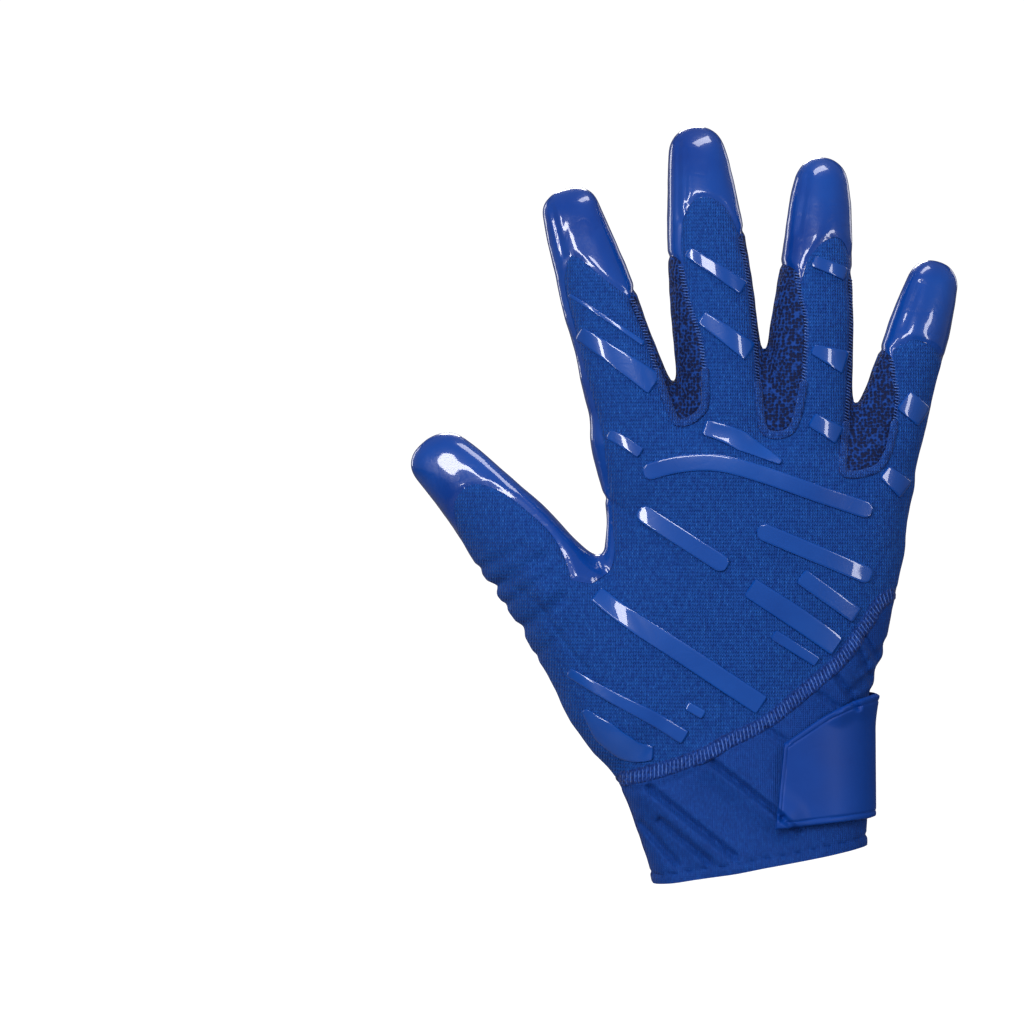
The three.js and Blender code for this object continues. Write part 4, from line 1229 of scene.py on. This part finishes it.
RIBS = (
    Rib("rib_knuckle_arc", ((-0.385, 0.940), (-0.270, 0.962), (-0.149, 0.965), (-0.013, 0.940),
                            (0.170, 0.893), (0.355, 0.848)), (5.4, 5.4, 5.3, 5.4, 5.4), round_ends=True),
    Rib("rib_back_upper_left", ((-0.400, 0.852), (-0.115, 0.715)), (5.5, 5.5), round_ends=True),
    Rib("rib_back_upper_right", ((-0.020, 0.806), (0.355, 0.690)), (5.5, 5.5), round_ends=True),
    Rib("rib_back_broad", ((-0.045, 0.668), (0.120, 0.588), (0.240, 0.525)), (6.6, 6.9, 6.6)),
    Rib("rib_back_edge", ((0.120, 0.695), (0.305, 0.598)), (5.3, 5.3)),
    Rib("rib_back_short", ((0.030, 0.556), (0.175, 0.488)), (3.5, 3.5)),
    Rib("rib_back_long", ((-0.535, 0.652), (-0.438, 0.596), (-0.276, 0.518), (-0.005, 0.385)),
        (5.4, 6.2, 6.4, 6.4)),
    Rib("rib_back_bar", ((-0.247, 0.386), (-0.190, 0.362)), (2.9, 2.9), height=0.6),
    Rib("rib_back_low", ((-0.625, 0.463), (-0.503, 0.412), (-0.357, 0.356), (-0.250, 0.308)),
        (3.1, 3.7, 4.4, 4.7)),
    Rib("rib_thumb_base", ((-0.575, 0.372), (-0.500, 0.314), (-0.424, 0.276), (-0.352, 0.270)),
        (1.8, 7.5, 7.8, 4.5)),
    Rib("rib_index_knuckle", ((-0.495, 1.036), (-0.455, 1.020), (-0.390, 0.988)), (3.3, 3.7, 3.6)),
    Rib("rib_middle_knuckle", ((-0.190, 1.052), (-0.097, 1.028), (0.060, 0.966)), (4.8, 6.3, 1.8)),
    Rib("rib_ring_root", ((0.157, 1.070), (0.252, 1.030)), (4.8, 5.9)),
    Rib("rib_pinky_root", ((0.395, 0.945), (0.470, 0.900)), (5.1, 6.6)),
    Rib("rib_index_fine", ((0.610, -0.66), (0.345, 0.66)), (1.2, 1.8), "index", height=0.5),
    Rib("rib_index", ((0.460, -0.70), (0.185, 0.62)), (4.3, 7.5), "index"),
    Rib("rib_middle_upper", ((0.590, -0.52), (0.452, 0.72)), (3.5, 4.9), "middle"),
    Rib("rib_middle_lower", ((0.372, -0.36), (0.242, 0.72)), (4.3, 6.5), "middle"),
    Rib("rib_ring_upper", ((0.640, -0.16), (0.606, 0.66)), (3.7, 4.4), "ring"),
    Rib("rib_ring_lower", ((0.340, -0.04), (0.304, 0.80)), (3.1, 7.7), "ring"),
    Rib("rib_pinky", ((0.424, 0.08), (0.384, 0.84)), (7.2, 7.3), "pinky"),
)


def longest_run(path: np.ndarray, fits: np.ndarray) -> np.ndarray:
    """Returns the longest unbroken part of a path whose samples all fit."""
    edges = np.flatnonzero(np.diff(np.concatenate([[0], fits.astype(int), [0]])))
    starts, ends = edges[::2], edges[1::2]
    longest = np.argmax(ends - starts)
    return path[starts[longest]:ends[longest]]


@dataclass
class RibSet:
    """The moulded ribs, the overlocked seam band and the bindings round the finger webs."""

    skin: Skin
    finishes: Finishes
    bevel: float = 0.4
    band_width: float = 4.6
    band_height: float = 0.55
    band_bevel: float = 1.9
    band_limit: float = -4.0
    web_width: float = 2.6
    web_height: float = 0.9
    web_bevel: float = 1.25
    web_reach: float = 17.0
    web_limit: float = -3.5

    def build_webs(self) -> None:
        """Binds the edge of the back round each web, from one finger down and up the next."""
        for gusset in GUSSETS:
            corners = np.vstack([DIGITS[gusset.left].place(gusset.down[2:]),
                                 DIGITS[gusset.right].place(gusset.up[:-2])])
            path = smooth_curve(corners, 0.4)
            low = path[:, 1].min()
            fits = (path[:, 1] < low + self.web_reach) & (self.skin.height(path, BACK) < self.web_limit)
            path = longest_run(path, fits)
            points, quads = sweep(self.skin, path, np.full(len(path), self.web_width), self.web_height,
                                  self.web_bevel, True)
            dress(make_object("web_binding_" + gusset.left, points, quads), self.finishes.binding, Slot.KNIT)

    def build(self) -> None:
        """Sweeps and dresses each rib, the band and the bindings."""
        self.build_webs()
        for rib in RIBS:
            centre = rib.centre()
            widths = np.interp(np.linspace(0, 1, len(centre)), np.linspace(0, 1, len(rib.widths)),
                               rib.widths)
            points, quads = sweep(self.skin, centre, widths, rib.height, min(self.bevel, widths.min() / 2.2),
                                  rib.round_ends)
            dress(make_object(rib.node + "_moulding", points, quads), self.finishes.rib, Slot.RIBS, rib.node)
        path = smooth_curve(on_hand(OVERLOCK_PATH), 0.5)
        path = path[self.skin.height(path, BACK) < self.band_limit]
        points, quads = sweep(self.skin, path, np.full(len(path), self.band_width), self.band_height,
                              self.band_bevel, False)
        dress(make_object("overlock_seam_band", points, quads), self.finishes.overlock, Slot.KNIT,
              "overlock_seam")


@dataclass(frozen=True)
class Wrap:
    """Slab's outline round the wrist, in millimetres.

    The left end leans on the back, at the given X at its foot and at its top. The right end is at a Y on the
    palm's side, past the edge of the hand. Each edge has a height at the left and one at the right. The floor
    is the under side's distance off the skin, and the landing the share of the way round from which the slab
    comes down on it. Samples count round the wrist and up it.
    """

    left: Span
    right: float
    bottom: Span
    top: Span
    floor: float
    samples: tuple[int, int]
    landing: float = 1.0


STRAP_WRAP = Wrap(left=(2.8, 6.4), right=10.0, bottom=(11.7, 14.6), top=(37.5, 52.5), floor=1.6,
                  samples=(130, 110), landing=0.62)
HOOK_WRAP = Wrap(left=(9.0, 11.0), right=-14.0, bottom=(16.5, 17.5), top=(34.0, 42.0), floor=0.2,
                 samples=(40, 40))


@dataclass
class Strap:
    """Wrist strap round the little-finger side, over its hook patch; angles run from the back to the palm."""

    skin: Skin
    finishes: Finishes
    thickness: float = 1.5
    border: float = 1.9
    border_groove: float = 0.28
    shoulder: float = 0.7
    drop: float = 0.85
    wrist_depth: float = 17.0
    wrist_half: float = 33.0
    wrist_arc: float = 28.0
    wrist_limit: float = 60.0
    oval: tuple[float, float, float] = (33.5, 18.0, 2.5)

    def patch(self, wrap: Wrap,
              offsets: Callable[[np.ndarray, np.ndarray], np.ndarray]) -> tuple[Points, np.ndarray]:
        """Slab wrapped on the wrist: rays from the wrist's axis meet the skin, and the slab stands off it.

        Args:
            wrap: Its outline.
            offsets: Distance off the skin from the distances to the left or right and lower or upper edges.

        Returns:
            Points in metres and quads.
        """
        columns, rows = wrap.samples
        u, v = np.meshgrid(np.linspace(0, 1, columns), np.linspace(0, 1, rows), indexing="ij")
        inner_edge = wrap.left[0] + (wrap.left[1] - wrap.left[0]) * v
        first = np.arctan2(inner_edge, self.wrist_depth)
        last = math.pi / 2 + math.atan2(wrap.right, self.wrist_half)
        angle = first + (last - first) * u
        wide, deep, power = self.oval
        sine, cosine = np.sin(angle), np.cos(angle)
        reach = (np.abs(sine / wide) ** power + np.abs(cosine / deep) ** power) ** (-1 / power)
        on_back = (reach * sine - inner_edge) / (self.wrist_half - inner_edge)
        spread = np.where(angle < math.pi / 2, np.clip(on_back, 0, 1), 1)
        low = wrap.bottom[0] + (wrap.bottom[1] - wrap.bottom[0]) * spread
        high = wrap.top[0] + (wrap.top[1] - wrap.top[0]) * spread
        z = low + (high - low) * v
        ray = np.stack([sine, -cosine, np.zeros_like(angle)], axis=-1).reshape(-1, 3)
        foot = np.column_stack([np.zeros(z.size), np.zeros(z.size), z.ravel()])
        hit = foot + ray * self.skin.reach(foot, ray, self.wrist_limit)[:, None]
        normal = self.skin.normal(hit)
        girth = (last - first) * self.wrist_arc
        across = (np.minimum(u, 1 - u) * girth).ravel()
        upward = np.minimum(v, 1 - v).ravel() * (high - low).ravel()
        landed = smoothstep(u.ravel(), wrap.landing, 1.0) if wrap.landing < 1 else 0.0
        drop = self.drop * wrap.floor * landed
        outer = self.skin.bend(hit + normal * (offsets(across, upward) - drop)[:, None])
        inner = self.skin.bend(hit + normal * np.broadcast_to(wrap.floor - drop, across.shape)[:, None])
        return np.vstack([outer, inner]), shell_quads(columns, rows, True)

    def profile(self, across: np.ndarray, upward: np.ndarray) -> np.ndarray:
        """Returns the strap's height: rounded edges, and a groove that marks its embossed border."""
        edge = np.minimum(across, upward)
        shoulder = np.sqrt(np.clip(1 - (1 - np.clip(edge / self.shoulder, 0, 1)) ** 2, 0, 1))
        groove = self.border_groove * np.exp(-((edge - self.border) / self.border_groove) ** 2)
        return STRAP_WRAP.floor + self.thickness * (0.35 + 0.65 * shoulder) - groove

    @staticmethod
    def pad(across: np.ndarray, upward: np.ndarray) -> np.ndarray:
        """Returns the hook patch's height: level, falling over the last millimetre to its edges."""
        return 0.3 + np.clip(np.minimum(across, upward), 0, 1)

    def build(self) -> None:
        """Builds the strap and the patch under it."""
        points, quads = self.patch(STRAP_WRAP, self.profile)
        dress(make_object("wrist_strap_skin", points, quads), self.finishes.strap, Slot.STRAP, "wrist_strap")
        points, quads = self.patch(HOOK_WRAP, self.pad)
        dress(make_object("hook_patch_tape", points, quads), self.finishes.hook, Slot.HOOK, "hook_patch")


@dataclass(frozen=True)
class Stitch:
    """Kind of stitch, in millimetres; share and slant are parts of the pitch.

    The share is what a stitch covers along its seam, the slant its offset from one side of the seam to the
    other, the width its spread across the seam, and the rise its extra height half way.
    """

    pitch: float
    share: float
    slant: float
    width: float
    lift: float
    rise: float
    radius: float


OVERLOCK_STITCH = Stitch(pitch=1.24, share=0.15, slant=0.75, width=3.4, lift=0.42, rise=0.12, radius=0.2)
WEB_STITCH = Stitch(pitch=0.95, share=0.1, slant=0.5, width=1.7, lift=-0.35, rise=0.25, radius=0.17)
LOCKSTITCH = Stitch(pitch=2.2, share=0.72, slant=0.0, width=0.0, lift=0.02, rise=0.2, radius=0.16)


@dataclass
class Threads:
    """Sewing threads of the back and of the palm, and punched holes, each kind one joined mesh.

    Hole rows name a finger, the first and last share along it and the number of rows.
    """

    SIDES = 6

    skin: Skin
    finishes: Finishes
    spacing: float = 0.5
    arc: int = 6
    hole_radius: float = 0.62
    hole_sides: int = 14
    hole_lift: float = 0.28
    hole_depth: float = 0.6
    hole_spread: float = 0.28
    hole_rows: tuple[tuple[str, float, float, int], ...] = (
        ("index", -0.02, 0.80, 12), ("middle", 0.02, 0.84, 14), ("ring", 0.02, 0.82, 13),
        ("pinky", 0.06, 0.76, 9))

    def stitches(self, starts: np.ndarray, ends: np.ndarray, stitch: Stitch,
                 side: int) -> tuple[Points, np.ndarray]:
        """Short arched threads between pairs of flat places: a circle carried along a low half sine.

        Args:
            starts: Flat starts.
            ends: Flat ends.
            stitch: Their kind.
            side: BACK or PALM.

        Returns:
            Points in metres and quads.
        """
        t = np.linspace(0, 1, self.arc)
        places = starts[:, None] + (ends - starts)[:, None] * t[None, :, None]
        flat = places.reshape(-1, 2)
        base = self.skin.height(flat, side)
        arch = np.tile(np.sin(np.pi * t), len(starts))
        level = base + side * (stitch.lift + stitch.rise * arch)
        spine = np.column_stack([flat[:, 0], level, flat[:, 1]])
        spine = self.skin.bend(spine).reshape(len(starts), self.arc, 3) / MM
        forward = np.gradient(spine, axis=1)
        forward /= np.maximum(np.linalg.norm(forward, axis=2, keepdims=True), 1e-9)
        out = np.array([0.0, side, 0.0])
        first = np.cross(forward, out)
        first /= np.maximum(np.linalg.norm(first, axis=2, keepdims=True), 1e-9)
        second = np.cross(forward, first)
        angle = np.arange(self.SIDES) * 2 * np.pi / self.SIDES
        size = stitch.radius * np.where((t == 0) | (t == 1), 0.35, 1.0)[None, :, None, None]
        hoop = (first[:, :, None] * np.cos(angle)[None, None, :, None]
                + second[:, :, None] * np.sin(angle)[None, None, :, None])
        points = (spine[:, :, None] + hoop * size).reshape(-1, 3) * MM
        index = np.arange(len(points)).reshape(len(starts), self.arc, self.SIDES)
        turned = np.roll(index, -1, axis=2)
        quads = np.stack([index[:, :-1], turned[:, :-1], turned[:, 1:], index[:, 1:]], axis=-1).reshape(-1, 4)
        # Each end of a six-sided thread closes with two quads.
        caps = [index[:, 0][:, [0, 5, 4, 3]], index[:, 0][:, [0, 3, 2, 1]],
                index[:, -1][:, [0, 1, 2, 3]], index[:, -1][:, [0, 3, 4, 5]]]
        return points, np.vstack([quads, *caps])

    def row(self, path: np.ndarray, stitch: Stitch, side: int) -> tuple[Points, np.ndarray]:
        """Row of stitches along a flat path.

        Args:
            path: Flat path, finely sampled.
            stitch: Kind of stitch.
            side: BACK or PALM.

        Returns:
            Points in metres and quads.
        """
        length = length_along(path)
        at = np.arange(stitch.pitch / 2, length[-1] - stitch.pitch, stitch.pitch)
        normal = across_path(path)

        def read(values: np.ndarray, where: np.ndarray) -> np.ndarray:
            """Returns values at distances along the path."""
            return np.column_stack([np.interp(where, length, column) for column in values.T])

        starts = read(path, at) - read(normal, at) * stitch.width / 2
        later = at + stitch.pitch * (stitch.share + stitch.slant)
        ends = read(path, later) + read(normal, later) * stitch.width / 2
        return self.stitches(starts, ends, stitch, side)

    @staticmethod
    def join(parts: list[tuple[Points, np.ndarray]]) -> tuple[Points, np.ndarray]:
        """Returns several meshes as one."""
        shift = np.cumsum([0] + [len(points) for points, _ in parts[:-1]])
        return (np.vstack([points for points, _ in parts]),
                np.vstack([faces + move for (_, faces), move in zip(parts, shift)]))

    def build(self) -> None:
        """Builds the threads of the back, those of the palm, and the punched holes."""
        overlock = smooth_curve(on_hand(OVERLOCK_PATH), self.spacing)
        overlock = overlock[self.skin.height(overlock, BACK) < -4.5]
        parts = [self.row(overlock, OVERLOCK_STITCH, BACK)]
        for gusset in GUSSETS:
            for corners in (DIGITS[gusset.left].place(gusset.down[1:]),
                            DIGITS[gusset.right].place(gusset.up[:-1])):
                path = smooth_curve(corners, self.spacing)
                path = path[self.skin.height(path, BACK) < -2.5]
                parts.append(self.row(path, WEB_STITCH, BACK))
        dress(make_object("back_threads", *self.join(parts)), self.finishes.thread, Slot.KNIT)
        parts = []
        for corners, offsets in ((THENAR_SEAM, (-1.1, 1.1)), (THENAR_DART, (0.0,)),
                                 (OUTER_THUMB_SEAM, (1.0,))):
            path = smooth_curve(on_hand(corners), self.spacing)
            for offset in offsets:
                line = path + across_path(path) * offset
                parts.append(self.row(line[self.skin.height(line, PALM) > 3.0], LOCKSTITCH, PALM))
        hem = np.linspace(-20, 30, 120)
        parts.append(self.row(np.column_stack([hem, hem * HAND.hem_slope + 2.2]), LOCKSTITCH, PALM))
        dress(make_object("palm_threads", *self.join(parts)), self.finishes.thread, Slot.PALM)
        dress(make_object("punched_holes", *self.holes()), self.finishes.hole_shade, Slot.PALM)

    def holes(self) -> tuple[Points, np.ndarray]:
        """Punched holes up the finger fronts: rows of two and of one in turn, each a thin plug whose dark
        colour is painted shade inside the opening.

        Returns:
            Points in metres and triangles.
        """
        centres = []
        for name, first, last, rows in self.hole_rows:
            for row, along in enumerate(np.linspace(first, last, rows)):
                sides = (-self.hole_spread, self.hole_spread) if row % 2 == 0 else (0.0,)
                centres += [DIGITS[name].place((along, across))[0] for across in sides]
        centre = np.array(centres)
        angle = np.arange(self.hole_sides) * 2 * np.pi / self.hole_sides
        rim = centre[:, None] + self.hole_radius * np.column_stack([np.cos(angle), np.sin(angle)])
        flat = np.concatenate([centre[:, None], rim], axis=1).reshape(-1, 2)
        level = self.skin.height(flat, PALM)
        top = self.skin.bend(np.column_stack([flat[:, 0], level + self.hole_lift, flat[:, 1]]))
        bottom = self.skin.bend(np.column_stack([flat[:, 0], level - self.hole_depth, flat[:, 1]]))
        ring = 1 + np.arange(self.hole_sides)
        after = np.roll(ring, -1)
        start = (np.arange(len(centre)) * (self.hole_sides + 1))[:, None, None]
        lid = np.column_stack([np.zeros_like(ring), after, ring])[None] + start
        wall = np.stack([np.column_stack([ring, after, after + len(flat)]),
                         np.column_stack([ring, after + len(flat), ring + len(flat)])])
        wall = wall.reshape(1, -1, 3) + start
        faces = np.concatenate([lid, lid[..., ::-1] + len(flat), wall], axis=1).reshape(-1, 3)
        return np.vstack([top, bottom]), faces


@dataclass
class Studio:
    """Pale backdrop, the camera at the photograph's angle, and soft lights: name, place, size and watts."""

    centre: tuple[float, float] = (-0.0769, 0.1085)
    view_width: float = 0.3174
    lens: float = 120.0
    sensor: float = 36.0
    floor_height: float = -0.35
    aim: tuple[float, float, float] = (-0.03, 0.0, 0.11)
    light_colour: tuple[float, float, float] = (0.97, 0.96, 1.0)
    lights: tuple[tuple[str, tuple[float, float, float], Span, float], ...] = (
        ("left_strip", (-0.75, -0.75, 0.35), (0.12, 0.8), 6.0),
        ("front_soft", (-0.2, -1.2, 0.75), (0.5, 0.3), 7.0),
        ("top_soft", (0.05, -0.1, 1.0), (0.5, 0.2), 2.5),
        ("right_fill", (0.75, -0.8, 0.3), (0.15, 0.6), 3.0),
        ("back_left", (-0.95, 0.95, 0.45), (0.2, 0.8), 2.0),
        ("back_right", (0.85, 0.95, 0.55), (0.3, 0.5), 0.8),
        ("back_soft", (-0.1, 1.1, 0.95), (0.5, 0.3), 7.0),
    )

    def area(self, name: str, place: tuple[float, float, float], size: Span, power: float) -> None:
        """Adds a rectangular light that faces the glove.

        Args:
            name: Light name.
            place: Place in metres.
            size: Width and height in metres.
            power: Watts.
        """
        light = bpy.data.lights.new(name, "AREA")
        light.shape = "RECTANGLE"
        light.size, light.size_y = size
        light.energy = power
        light.color = self.light_colour
        lamp = bpy.data.objects.new(name, light)
        lamp.location = place
        aim = np.array(self.aim) - np.array(place)
        flat = math.hypot(aim[0], aim[1])
        lamp.rotation_euler = (math.atan2(flat, -aim[2]), 0.0, math.atan2(-aim[0], aim[1]))
        bpy.context.scene.collection.objects.link(lamp)

    def stage_material(self) -> bpy.types.Material:
        """Returns the backdrop's material: bright to the eye, gentle on the glove."""
        material = bpy.data.materials.new("paper")
        material.use_nodes = True
        graph = Graph(material.node_tree)
        shader = material.node_tree.nodes["Principled BSDF"]
        shader.inputs["Base Color"].default_value = (0.25, 0.25, 0.26, 1.0)
        shader.inputs["Roughness"].default_value = 0.9
        shader.inputs["Emission Color"].default_value = (1.0, 1.0, 1.0, 1.0)
        seen = graph.add("ShaderNodeLightPath").outputs["Is Camera Ray"]
        graph.tree.links.new(graph.math("MULTIPLY", seen, 0.93), shader.inputs["Emission Strength"])
        return material

    def build_stage(self) -> None:
        """Makes the backdrop: a floor up to a share of the run, a quarter bend, then a wall."""
        samples = 60
        radius, front, back, rise, half = 0.5, -2.5, 1.6, 2.5, 3.0
        bend_start, bend_end = 0.5, 0.7
        u = np.linspace(0, 1, samples)
        bend = np.clip((u - bend_start) / (bend_end - bend_start), 0, 1) * math.pi / 2
        foot = back - radius
        y = np.where(u < bend_start, front + (foot - front) * u / bend_start, foot + radius * np.sin(bend))
        z = np.where(u < bend_end, radius * (1 - np.cos(bend)),
                     radius + (u - bend_end) / (1 - bend_end) * rise)
        x = np.array([-half, half])
        z = z + self.floor_height
        points = np.stack(np.broadcast_arrays(x[None, :], y[:, None], z[:, None]), axis=-1)
        index = np.arange(2 * samples).reshape(samples, 2)
        quads = np.stack([index[:-1, 0], index[:-1, 1], index[1:, 1], index[1:, 0]], axis=-1)
        floor = make_object("backdrop", points.reshape(-1, 3), quads)
        floor.data.materials.append(self.stage_material())

    def build(self) -> None:
        """Makes the backdrop, the lights, the sky and the camera."""
        self.build_stage()
        for light in self.lights:
            self.area(*light)
        world = bpy.data.worlds.new("soft_sky")
        world.use_nodes = True
        world.node_tree.nodes["Background"].inputs[0].default_value = (0.96, 0.97, 1.0, 1.0)
        world.node_tree.nodes["Background"].inputs[1].default_value = 0.22
        scene = bpy.context.scene
        scene.world = world
        scene.view_settings.view_transform = "Standard"
        camera = bpy.data.cameras.new("camera")
        camera.lens = self.lens
        camera.sensor_width = self.sensor
        camera.clip_end = 20.0
        view = bpy.data.objects.new("camera", camera)
        view.location = (self.centre[0], -self.view_width * self.lens / self.sensor, self.centre[1])
        view.rotation_euler = (math.pi / 2, 0.0, 0.0)
        scene.collection.objects.link(view)
        scene.camera = view


def main() -> None:
    """Builds the glove, the stage, the lights and the camera."""
    logging.basicConfig(level=logging.INFO, format="%(name)s %(message)s")
    skin = Skin()
    finishes = Finishes()
    PanelSet(skin, finishes).build()
    RibSet(skin, finishes).build()
    Strap(skin, finishes).build()
    Threads(skin, finishes).build()
    Studio().build()


if __name__ == "__main__":
    main()
